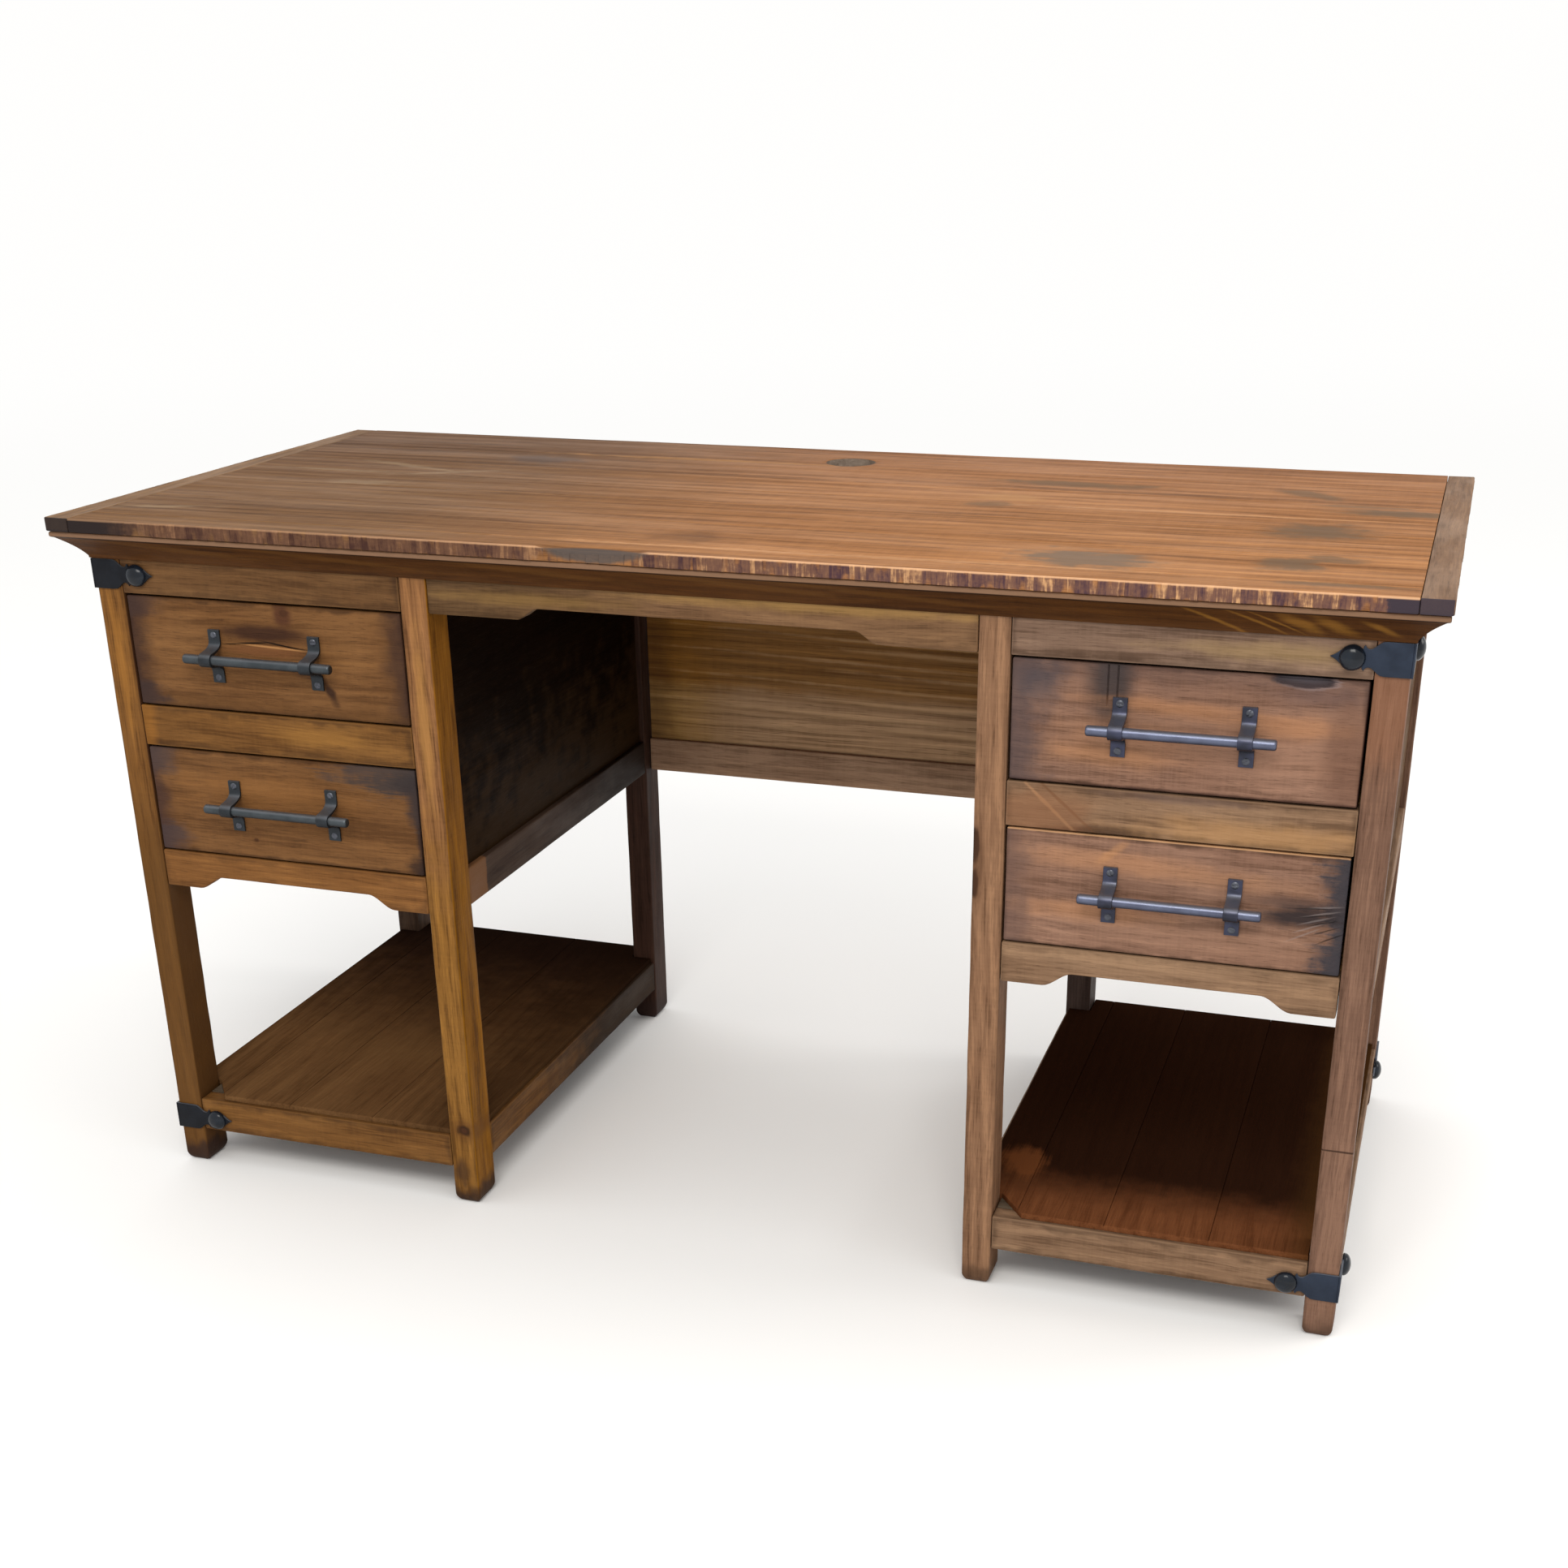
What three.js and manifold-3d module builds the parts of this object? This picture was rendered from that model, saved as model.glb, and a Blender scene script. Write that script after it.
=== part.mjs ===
// Rustic double-pedestal writing desk with four drawers, in millimetres.
// X runs along the desk to the right, -Y is the front, +Z is up.
// The origin is on the floor, under the middle of the top.
import * as THREE from 'three';
import { mergeVertices } from 'three/addons/utils/BufferGeometryUtils.js';
import Module from 'manifold-3d';

const wasm = await Module();
wasm.setup();

// ---------------------------------------------------------------- driving sizes
const HEIGHT = 762;
const WIDTH = 1408;
const DEPTH = 652;
const GAP = 0.3; // what every glued or nailed joint leaves between two pieces

const TOP_THICKNESS = 14;
const TOP_OVERHANG = { side: 30.5, front: 32 };
const TOP_END_WIDTH = 29;
const TOP_STRIP_WIDTH = 43;
const CABLE_HOLE_DIAMETER = 58;
const CABLE_HOLE_FROM_BACK = 88;

const POST = { width: 31, depth: 42 };
const FOOT_HEIGHT = 44.5;
const FOOT_ROUNDING = 5;
const PEDESTAL_WIDTH = 389;

const OPENING_TOP = 681;
const OPENING_HEIGHT = 120.5;
const MID_RAIL_HEIGHT = 44.5;
const BOTTOM_RAIL_HEIGHT = 42.5;
const SHELF_RAIL_HEIGHT = 40;
const RAIL_THICKNESS = 22;
const SIDE_RAIL_THICKNESS = 20;
const PANEL_THICKNESS = 10;
const PANEL_RECESS = 6; // panel face behind the face of its rails
const FACE_STEP = 0.5; // rails lie this much behind the faces of the posts

const CROWN = { height: 31, reach: 29.5, fillet: 6, foot: 3, quirk: 1.5 };
const SCALLOP = { flat: 42, rise: 15 }; // lower edge of the rail under the lower drawer
const APRON_ARCH = { flat: 97, rise: 12 }; // lower edge of the apron over the kneehole
const MODESTY_INSET = 16; // face of the modesty panel behind the faces of the rear posts

const SHELF = { lip: 6, body: 8, setback: 5, cornerCut: 30, postClearance: 1 };

const DRAWER_REVEAL = { side: 1.8, top: 2, bottom: 1.5 };
const DRAWER_FRONT_THICKNESS = 20;
const DRAWER_FACE_STEP = 1;
const DRAWER_BOX = { width: 318, height: 100, length: 512, wall: 12 };
const DRAWER_BOTTOM = { thickness: 6, raised: 8 };
const DRAWER_RUN_CLEARANCE = 1;

const RUNNER = { width: 24, height: 18, tie: 22, guideHeight: 20, guideClearance: 2.5 };
const OVERLAP = 1; // how far the blocks that make up one solid reach into each other

const PULL = {
  rodDiameter: 10.5,
  rodLength: 174,
  standoff: 19,
  bracketSpacing: 118,
  bracketWidth: 14,
  bracketHeight: 57,
  plateHeight: 14,
  strapThickness: 2.2,
};

const STRAP = {
  thickness: 2,
  height: 31.5,
  legLength: 71,
  wideLength: 29,
  neckAt: 38,
  domeAt: 51.5,
  domeRadius: 12,
  domeHeight: 9,
};

// ---------------------------------------------------------------- derived places
const TOP_UNDERSIDE = HEIGHT - TOP_THICKNESS;
const FRAME_TOP = TOP_UNDERSIDE - GAP;
const FRAME_X = WIDTH / 2 - TOP_OVERHANG.side;
const FRAME_Y = DEPTH / 2 - TOP_OVERHANG.front;
const CROWN_BOTTOM = FRAME_TOP - CROWN.height;

const PEDESTAL_X = FRAME_X - PEDESTAL_WIDTH / 2;
const KNEEHOLE_X = FRAME_X - PEDESTAL_WIDTH;
const BAY_WIDTH = PEDESTAL_WIDTH - 2 * POST.width;

const UPPER_OPENING = { bottom: OPENING_TOP - OPENING_HEIGHT, top: OPENING_TOP };
const LOWER_TOP = UPPER_OPENING.bottom - MID_RAIL_HEIGHT;
const LOWER_OPENING = { bottom: LOWER_TOP - OPENING_HEIGHT, top: LOWER_TOP };
const CASE_BOTTOM = LOWER_OPENING.bottom - BOTTOM_RAIL_HEIGHT;
const SHELF_RAIL_TOP = FOOT_HEIGHT + SHELF_RAIL_HEIGHT;

const LEVELS = [
  { level: 'upper', opening: UPPER_OPENING },
  { level: 'lower', opening: LOWER_OPENING },
];
// side is -1 for the left pedestal and +1 for the right one
const SIDES = [
  { side: -1, hand: 'left' },
  { side: 1, hand: 'right' },
];
const DRAWER_NUMBER = { left_upper: 1, left_lower: 2, right_upper: 3, right_lower: 4 };

// ---------------------------------------------------------------- finishes
const FINISH = {
  top: { color: 0x9a6a45, roughness: 0.5, metalness: 0 },
  topEnd: { color: 0x84674c, roughness: 0.55, metalness: 0 },
  crown: { color: 0x5f4120, roughness: 0.5, metalness: 0 },
  post: { color: 0x80582f, roughness: 0.55, metalness: 0 },
  rail: { color: 0x7a552d, roughness: 0.55, metalness: 0 },
  drawerFront: { color: 0x7c4f2b, roughness: 0.55, metalness: 0 },
  panel: { color: 0x5f4527, roughness: 0.6, metalness: 0 },
  shelf: { color: 0x4a2f1a, roughness: 0.4, metalness: 0 },
  inside: { color: 0xa98456, roughness: 0.75, metalness: 0 },
  iron: { color: 0x363c46, roughness: 0.45, metalness: 0.8 },
};

const desk = new THREE.Group();

function addPart(name, geometry, finish, parent = desk) {
  const mesh = new THREE.Mesh(geometry, new THREE.MeshStandardMaterial(finish));
  mesh.name = name;
  parent.add(mesh);
  return mesh;
}

// ---------------------------------------------------------------- shape helpers
function boardGeometry(x, y, z) {
  const geometry = new THREE.BoxGeometry(x[1] - x[0], y[1] - y[0], z[1] - z[0]);
  return geometry.translate((x[0] + x[1]) / 2, (y[0] + y[1]) / 2, (z[0] + z[1]) / 2);
}

// A range measured outwards from the middle of the desk, on one side of it.
function sideRange(side, near, far) {
  return side < 0 ? [-far, -near] : [near, far];
}

// An outline drawn in X and Z, made into a board from its front face towards the back.
function uprightGeometry(outline, frontY, thickness) {
  const geometry = new THREE.ExtrudeGeometry(outline, {
    depth: thickness,
    bevelEnabled: false,
    curveSegments: 8,
  });
  return geometry.rotateX(Math.PI / 2).translate(0, frontY + thickness, 0);
}

// An outline drawn in X and Y, made into a slab with its underside at a height.
function slabGeometry(outline, bottomZ, thickness) {
  const geometry = new THREE.ExtrudeGeometry(outline, {
    depth: thickness,
    bevelEnabled: false,
  });
  return geometry.translate(0, 0, bottomZ);
}

function toSolid(geometry) {
  const bare = geometry.clone();
  bare.deleteAttribute('normal');
  bare.deleteAttribute('uv');
  const merged = mergeVertices(bare, 1e-4);
  return new wasm.Manifold(
    new wasm.Mesh({
      numProp: 3,
      vertProperties: Float32Array.from(merged.attributes.position.array),
      triVerts: Uint32Array.from(merged.index.array),
    })
  );
}

function toGeometry(solid) {
  const mesh = solid.getMesh();
  const geometry = new THREE.BufferGeometry();
  geometry.setAttribute('position', new THREE.BufferAttribute(mesh.vertProperties, 3));
  geometry.setIndex(new THREE.BufferAttribute(mesh.triVerts, 1));
  const flat = geometry.toNonIndexed();
  flat.computeVertexNormals();
  return flat;
}

function joined(geometries) {
  return toGeometry(geometries.map(toSolid).reduce((all, next) => all.add(next)));
}

function cut(geometry, cutters) {
  const whole = toSolid(geometry);
  return toGeometry(cutters.map(toSolid).reduce((rest, cutter) => rest.subtract(cutter), whole));
}

// ---------------------------------------------------------------- top
function addTop() {
  const endSeam = WIDTH / 2 - TOP_END_WIDTH;
  const stripSeam = -DEPTH / 2 + TOP_STRIP_WIDTH;
  const z = [TOP_UNDERSIDE, HEIGHT];

  const field = boardGeometry([-endSeam + GAP, endSeam - GAP], [stripSeam + GAP, DEPTH / 2], z);
  const hole = new THREE.CylinderGeometry(
    CABLE_HOLE_DIAMETER / 2,
    CABLE_HOLE_DIAMETER / 2,
    3 * TOP_THICKNESS,
    32
  );
  hole.rotateX(Math.PI / 2).translate(0, DEPTH / 2 - CABLE_HOLE_FROM_BACK, HEIGHT);
  addPart('top_field', cut(field, [hole]), FINISH.top);

  const strip = boardGeometry([-endSeam + GAP, endSeam - GAP], [-DEPTH / 2, stripSeam], z);
  addPart('top_front_strip', strip, FINISH.top);

  for (const { side, hand } of SIDES) {
    const end = boardGeometry(sideRange(side, endSeam, WIDTH / 2), [-DEPTH / 2, DEPTH / 2], z);
    addPart(`top_end_${hand}`, end, FINISH.topEnd);
  }
}

// ---------------------------------------------------------------- crown moulding
// Profile of the cove: X is the reach out from the frame, Y is the height above its foot.
function crownProfile() {
  const { height, reach, fillet, foot, quirk } = CROWN;
  const coveTop = height - fillet;
  const profile = new THREE.Shape();
  profile.moveTo(GAP, 0);
  profile.lineTo(foot, 0);
  profile.lineTo(foot, quirk);
  profile.quadraticCurveTo(foot * 3, coveTop * 0.45, reach - foot, coveTop);
  profile.lineTo(reach, coveTop + quirk / 3);
  profile.lineTo(reach, height - quirk);
  profile.lineTo(reach - quirk, height);
  profile.lineTo(GAP, height);
  profile.closePath();
  return profile;
}

// One length of crown moulding along X, mitred at both ends: the ends reach out
// past the frame by as much as the profile does at that point.
function mitredCrown(frameLength) {
  const geometry = new THREE.ExtrudeGeometry(crownProfile(), {
    depth: 1,
    bevelEnabled: false,
    curveSegments: 6,
  });
  const position = geometry.attributes.position;
  for (let i = 0; i < position.count; i += 1) {
    const reach = position.getX(i);
    const height = position.getY(i);
    const end = position.getZ(i) > 0.5 ? 1 : -1;
    position.setXYZ(i, end * (frameLength / 2 + reach - GAP), -reach, height);
  }
  const index = [...Array(position.count).keys()];
  for (let i = 0; i < index.length; i += 3) {
    [index[i + 1], index[i + 2]] = [index[i + 2], index[i + 1]];
  }
  geometry.setIndex(index);
  geometry.computeVertexNormals();
  return geometry;
}

function addCrown() {
  const runs = [
    { name: 'crown_front', length: 2 * FRAME_X, out: FRAME_Y, turn: 0 },
    { name: 'crown_right', length: 2 * FRAME_Y, out: FRAME_X, turn: 1 },
    { name: 'crown_back', length: 2 * FRAME_X, out: FRAME_Y, turn: 2 },
    { name: 'crown_left', length: 2 * FRAME_Y, out: FRAME_X, turn: 3 },
  ];
  for (const { name, length, out, turn } of runs) {
    const geometry = mitredCrown(length).translate(0, -out, CROWN_BOTTOM);
    const crown = addPart(name, geometry, FINISH.crown);
    crown.rotation.z = (turn * Math.PI) / 2;
  }
}

// ---------------------------------------------------------------- posts
// A square post whose foot is rounded in towards the floor on all four sides.
function postGeometry() {
  const halfWidth = POST.width / 2;
  const halfDepth = POST.depth / 2;
  const rings = [
    { z: 0, inset: FOOT_ROUNDING },
    { z: FOOT_ROUNDING * 0.6, inset: FOOT_ROUNDING * 0.35 },
    { z: FOOT_ROUNDING * 1.8, inset: 0 },
    { z: FRAME_TOP, inset: 0 },
  ];
  const corners = [
    [-1, -1],
    [1, -1],
    [1, 1],
    [-1, 1],
  ];
  const positions = [];
  for (const { z, inset } of rings) {
    for (const [x, y] of corners) {
      positions.push(x * (halfWidth - inset), y * (halfDepth - inset), z);
    }
  }
  const index = [0, 2, 1, 0, 3, 2];
  for (let ring = 0; ring < rings.length - 1; ring += 1) {
    for (let corner = 0; corner < 4; corner += 1) {
      const a = ring * 4 + corner;
      const b = ring * 4 + ((corner + 1) % 4);
      index.push(a, b, b + 4, a, b + 4, a + 4);
    }
  }
  const last = (rings.length - 1) * 4;
  index.push(last, last + 1, last + 2, last, last + 2, last + 3);
  const geometry = new THREE.BufferGeometry();
  geometry.setAttribute('position', new THREE.Float32BufferAttribute(positions, 3));
  geometry.setIndex(index);
  const flat = geometry.toNonIndexed();
  flat.computeVertexNormals();
  return flat;
}

function addPosts() {
  const outerX = FRAME_X - POST.width / 2;
  const innerX = KNEEHOLE_X + POST.width / 2;
  const y = FRAME_Y - POST.depth / 2;
  for (const { side, hand } of SIDES) {
    for (const [where, x] of [['outer', outerX], ['inner', innerX]]) {
      for (const [end, sign] of [['front', -1], ['rear', 1]]) {
        const post = addPart(`post_${hand}_${where}_${end}`, postGeometry(), FINISH.post);
        post.position.set(side * x, sign * y, 0);
      }
    }
  }
}

// ---------------------------------------------------------------- front rails
// A board whose lower edge rises from a flat at each end, through an ogee, to a raised middle.
function scallopedOutline(length, top, bottom, { flat, rise }) {
  const half = length / 2;
  const ogee = 2 * rise;
  const raised = bottom + rise;
  const start = half - flat;
  const end = start - ogee;
  const outline = new THREE.Shape();
  outline.moveTo(-half, bottom);
  outline.lineTo(-start, bottom);
  outline.bezierCurveTo(-start + ogee * 0.55, bottom, -end - ogee * 0.7, raised, -end, raised);
  outline.lineTo(end, raised);
  outline.bezierCurveTo(end + ogee * 0.7, raised, start - ogee * 0.55, bottom, start, bottom);
  outline.lineTo(half, bottom);
  outline.lineTo(half, top);
  outline.lineTo(-half, top);
  outline.closePath();
  return outline;
}

function addFrontRails() {
  const bay = [-BAY_WIDTH / 2 + GAP, BAY_WIDTH / 2 - GAP];
  const frontY = -FRAME_Y + FACE_STEP;
  const y = [frontY, frontY + RAIL_THICKNESS];
  for (const { side, hand } of SIDES) {
    const pedestal = new THREE.Group();
    pedestal.position.x = side * PEDESTAL_X;
    desk.add(pedestal);
    const top = boardGeometry(bay, y, [OPENING_TOP, FRAME_TOP]);
    const mid = boardGeometry(bay, y, [LOWER_OPENING.top, UPPER_OPENING.bottom]);
    const shelf = boardGeometry(bay, y, [FOOT_HEIGHT, SHELF_RAIL_TOP]);
    const outline = scallopedOutline(BAY_WIDTH - 2 * GAP, LOWER_OPENING.bottom, CASE_BOTTOM, SCALLOP);
    const bottom = uprightGeometry(outline, frontY, RAIL_THICKNESS);
    addPart(`top_rail_${hand}`, top, FINISH.rail, pedestal);
    addPart(`mid_rail_${hand}`, mid, FINISH.rail, pedestal);
    addPart(`bottom_rail_${hand}`, bottom, FINISH.rail, pedestal);
    addPart(`shelf_rail_${hand}_front`, shelf, FINISH.rail, pedestal);
  }
  const apron = scallopedOutline(2 * (KNEEHOLE_X - GAP), FRAME_TOP, OPENING_TOP, APRON_ARCH);
  addPart('kneehole_apron', uprightGeometry(apron, frontY, RAIL_THICKNESS), FINISH.rail);
}

// ---------------------------------------------------------------- sides and backs
// Section of a framed panel: X is the depth into the piece from the face of the posts,
// Y is the height. The top and bottom rails are one with the thinner panel between them.
function framedPanelSection(railThickness) {
  const face = FACE_STEP;
  const back = face + railThickness;
  const panelFace = face + PANEL_RECESS;
  const panelBack = panelFace + PANEL_THICKNESS;
  const section = new THREE.Shape();
  section.moveTo(face, CASE_BOTTOM);
  section.lineTo(back, CASE_BOTTOM);
  section.lineTo(back, LOWER_OPENING.bottom);
  section.lineTo(panelBack, LOWER_OPENING.bottom);
  section.lineTo(panelBack, OPENING_TOP);
  section.lineTo(back, OPENING_TOP);
  section.lineTo(back, FRAME_TOP);
  section.lineTo(face, FRAME_TOP);
  section.lineTo(face, OPENING_TOP);
  section.lineTo(panelFace, OPENING_TOP);
  section.lineTo(panelFace, LOWER_OPENING.bottom);
  section.lineTo(face, LOWER_OPENING.bottom);
  section.closePath();
  return section;
}

// The framed panel stands along X with its face towards -Y, in the plane Y = 0.
function framedPanel(length, railThickness) {
  const geometry = new THREE.ExtrudeGeometry(framedPanelSection(railThickness), {
    depth: length,
    bevelEnabled: false,
  });
  const along = new THREE.Vector3(1, 0, 0);
  const inwards = new THREE.Vector3(0, 1, 0);
  const up = new THREE.Vector3(0, 0, 1);
  const standing = new THREE.Matrix4().makeBasis(inwards, up, along);
  return geometry.applyMatrix4(standing).translate(-length / 2, 0, 0);
}

function addSides() {
  const length = 2 * (FRAME_Y - POST.depth - GAP);
  const faces = [
    { where: 'outer', x: FRAME_X, facing: 1 },
    { where: 'inner', x: KNEEHOLE_X, facing: -1 },
  ];
  for (const { side, hand } of SIDES) {
    for (const { where, x, facing } of faces) {
      const boards = framedPanel(length, SIDE_RAIL_THICKNESS);
      const panel = addPart(`side_panel_${hand}_${where}`, boards, FINISH.panel);
      panel.rotation.z = (side * facing * Math.PI) / 2;
      panel.position.x = side * x;

      const near = where === 'outer' ? x - FACE_STEP - SIDE_RAIL_THICKNESS : x + FACE_STEP;
      const rail = boardGeometry(
        sideRange(side, near, near + SIDE_RAIL_THICKNESS),
        [-length / 2, length / 2],
        [FOOT_HEIGHT, SHELF_RAIL_TOP]
      );
      addPart(`shelf_rail_${hand}_${where}`, rail, FINISH.rail);
    }
  }
}

function addBacks() {
  const bayLength = BAY_WIDTH - 2 * GAP;
  const rearY = FRAME_Y - FACE_STEP;
  for (const { side, hand } of SIDES) {
    const x = side * PEDESTAL_X;
    const boards = framedPanel(bayLength, RAIL_THICKNESS);
    const back = addPart(`back_panel_${hand}`, boards, FINISH.panel);
    back.rotation.z = Math.PI;
    back.position.set(x, FRAME_Y, 0);
    const rail = boardGeometry(
      [x - bayLength / 2, x + bayLength / 2],
      [rearY - RAIL_THICKNESS, rearY],
      [FOOT_HEIGHT, SHELF_RAIL_TOP]
    );
    addPart(`shelf_rail_${hand}_rear`, rail, FINISH.rail);
  }
  const boards = framedPanel(2 * (KNEEHOLE_X - GAP), RAIL_THICKNESS);
  const modesty = addPart('modesty_panel', boards, FINISH.panel);
  modesty.position.y = FRAME_Y - POST.depth + MODESTY_INSET;
}

// ---------------------------------------------------------------- shelves
// The boards lie on the shelf rails, let in between them from below. Their outline
// goes round the four posts, and a slanted cut clears the post at the front left corner.
function shelfGeometry() {
  const x = PEDESTAL_WIDTH / 2 - SHELF.setback;
  const y = FRAME_Y - SHELF.setback;
  const notchX = BAY_WIDTH / 2 - SHELF.postClearance;
  const notchY = FRAME_Y - POST.depth - SHELF.postClearance;
  const outline = new THREE.Shape();
  outline.moveTo(-notchX + SHELF.cornerCut, -y);
  outline.lineTo(notchX, -y);
  outline.lineTo(notchX, -notchY);
  outline.lineTo(x, -notchY);
  outline.lineTo(x, notchY);
  outline.lineTo(notchX, notchY);
  outline.lineTo(notchX, y);
  outline.lineTo(-notchX, y);
  outline.lineTo(-notchX, notchY);
  outline.lineTo(-x, notchY);
  outline.lineTo(-x, -notchY);
  outline.lineTo(-notchX, -notchY);
  outline.closePath();
  const lipBottom = SHELF_RAIL_TOP + GAP;
  const lip = slabGeometry(outline, lipBottom, SHELF.lip);

  const bodyX = PEDESTAL_WIDTH / 2 - FACE_STEP - SIDE_RAIL_THICKNESS - GAP;
  const bodyZ = [lipBottom - SHELF.body, lipBottom + SHELF.lip / 2];
  const body = boardGeometry([-bodyX, bodyX], [-notchY, notchY], bodyZ);
  return joined([lip, body]);
}

function addShelves() {
  for (const { side, hand } of SIDES) {
    const shelf = addPart(`shelf_${hand}`, shelfGeometry(), FINISH.shelf);
    shelf.position.x = side * PEDESTAL_X;
  }
}

// ---------------------------------------------------------------- drawer runners
// Two runners with upright guides, tied together at the back. The front ends meet the
// rail under the drawer, between the posts.
function runnerFrameGeometry(topZ) {
  const besidePanel = topZ - RUNNER.height > LOWER_OPENING.bottom;
  const sideDepth = besidePanel ? PANEL_RECESS + PANEL_THICKNESS : SIDE_RAIL_THICKNESS;
  const outX = PEDESTAL_WIDTH / 2 - FACE_STEP - sideDepth - GAP;
  const inX = BAY_WIDTH / 2 - RUNNER.width;
  const frontY = -FRAME_Y + FACE_STEP + RAIL_THICKNESS + GAP;
  const backY = FRAME_Y - FACE_STEP - RAIL_THICKNESS - GAP;
  const postFace = FRAME_Y - POST.depth - GAP;
  const insideFace = BAY_WIDTH / 2 - GAP;
  const z = [topZ - RUNNER.height, topZ];
  const guideFace = DRAWER_BOX.width / 2 + RUNNER.guideClearance;
  const guideZ = [topZ - RUNNER.height / 2, topZ + RUNNER.guideHeight];
  const tie = boardGeometry([-inX - OVERLAP, inX + OVERLAP], [backY - RUNNER.tie, backY], z);
  const pieces = [tie];
  for (const side of [-1, 1]) {
    pieces.push(boardGeometry(sideRange(side, inX, insideFace), [frontY, backY], z));
    const besidePosts = sideRange(side, insideFace - OVERLAP, outX);
    pieces.push(boardGeometry(besidePosts, [-postFace, postFace], z));
    pieces.push(boardGeometry(sideRange(side, guideFace, outX), [-postFace, postFace], guideZ));
  }
  return joined(pieces);
}

function addRunners() {
  for (const { side, hand } of SIDES) {
    for (const { level, opening } of LEVELS) {
      const name = `runner_frame_${hand}_${level}`;
      const runner = addPart(name, runnerFrameGeometry(opening.bottom), FINISH.inside);
      runner.position.x = side * PEDESTAL_X;
    }
  }
}

// ---------------------------------------------------------------- drawers
// All drawer pieces are drawn about the middle of the opening, on the front face of the frame.
function drawerFrontGeometry() {
  const halfWidth = BAY_WIDTH / 2 - DRAWER_REVEAL.side;
  return boardGeometry(
    [-halfWidth, halfWidth],
    [DRAWER_FACE_STEP, DRAWER_FACE_STEP + DRAWER_FRONT_THICKNESS],
    [-OPENING_HEIGHT / 2 + DRAWER_REVEAL.bottom, OPENING_HEIGHT / 2 - DRAWER_REVEAL.top]
  );
}

// Sides, back and front wall round a bottom that is let in a little above their lower edges.
function drawerBoxGeometry() {
  const { width, height, length, wall } = DRAWER_BOX;
  const bottomZ = -OPENING_HEIGHT / 2 + DRAWER_RUN_CLEARANCE;
  const frontY = DRAWER_FACE_STEP + DRAWER_FRONT_THICKNESS + GAP;
  const topZ = bottomZ + height;
  const innerX = [-width / 2 + wall, width / 2 - wall];
  const innerY = [frontY + wall, frontY + length - wall];
  const floorTop = bottomZ + DRAWER_BOTTOM.raised + DRAWER_BOTTOM.thickness;
  const outer = boardGeometry([-width / 2, width / 2], [frontY, frontY + length], [bottomZ, topZ]);
  const inside = boardGeometry(innerX, innerY, [floorTop, topZ + OVERLAP]);
  const under = boardGeometry(innerX, innerY, [bottomZ - OVERLAP, bottomZ + DRAWER_BOTTOM.raised]);
  return cut(outer, [inside, under]);
}

// Side view of the strap that holds the rod. It leaves a flat plate, runs out over the
// rod and comes back to a second plate. Outline X points out of the drawer, Y points up.
function bracketGeometry() {
  const half = PULL.bracketHeight / 2;
  const thick = PULL.strapThickness;
  const radius = PULL.rodDiameter / 2;
  const outer = radius + thick;
  const plate = PULL.plateHeight;
  const reach = PULL.standoff;
  const outline = new THREE.Shape();
  outline.moveTo(0, half);
  outline.lineTo(0, half - plate);
  outline.bezierCurveTo(0, half - plate - 4, reach * 0.45, radius + 3, reach - radius * 0.6, radius * 0.5);
  outline.lineTo(reach - radius * 0.6, -radius * 0.5);
  outline.bezierCurveTo(reach * 0.45, -radius - 3, 0, -half + plate + 4, 0, -half + plate);
  outline.lineTo(0, -half);
  outline.lineTo(thick, -half);
  outline.lineTo(thick, -half + plate);
  outline.bezierCurveTo(thick, -half + plate + 3, reach * 0.5, -outer - 2, reach, -outer);
  outline.absarc(reach, 0, outer, -Math.PI / 2, Math.PI / 2, false);
  outline.bezierCurveTo(reach * 0.5, outer + 2, thick, half - plate - 3, thick, half - plate);
  outline.lineTo(thick, half);
  outline.closePath();
  const geometry = new THREE.ExtrudeGeometry(outline, {
    depth: PULL.bracketWidth,
    bevelEnabled: false,
    curveSegments: 5,
  });
  const outwards = new THREE.Vector3(0, -1, 0);
  const up = new THREE.Vector3(0, 0, 1);
  const across = new THREE.Vector3(-1, 0, 0);
  const upright = new THREE.Matrix4().makeBasis(outwards, up, across);
  return geometry.applyMatrix4(upright).translate(PULL.bracketWidth / 2, 0, 0);
}

function pullGeometry() {
  const radius = PULL.rodDiameter / 2;
  const rod = new THREE.CylinderGeometry(radius, radius, PULL.rodLength, 20);
  rod.rotateZ(Math.PI / 2).translate(0, -PULL.standoff, 0);
  const halfSpacing = PULL.bracketSpacing / 2;
  const brackets = [-1, 1].map((side) => bracketGeometry().translate(side * halfSpacing, 0, 0));
  return joined([rod, ...brackets]).translate(0, DRAWER_FACE_STEP - GAP, 0);
}

function addDrawers() {
  for (const { side, hand } of SIDES) {
    for (const { level, opening } of LEVELS) {
      const drawer = new THREE.Group();
      drawer.position.set(side * PEDESTAL_X, -FRAME_Y, (opening.top + opening.bottom) / 2);
      desk.add(drawer);
      const number = DRAWER_NUMBER[`${hand}_${level}`];
      addPart(`drawer_${number}_front`, drawerFrontGeometry(), FINISH.drawerFront, drawer);
      addPart(`drawer_${number}_box`, drawerBoxGeometry(), FINISH.inside, drawer);
      addPart(`drawer_${number}_pull`, pullGeometry(), FINISH.iron, drawer);
    }
  }
}

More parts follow.
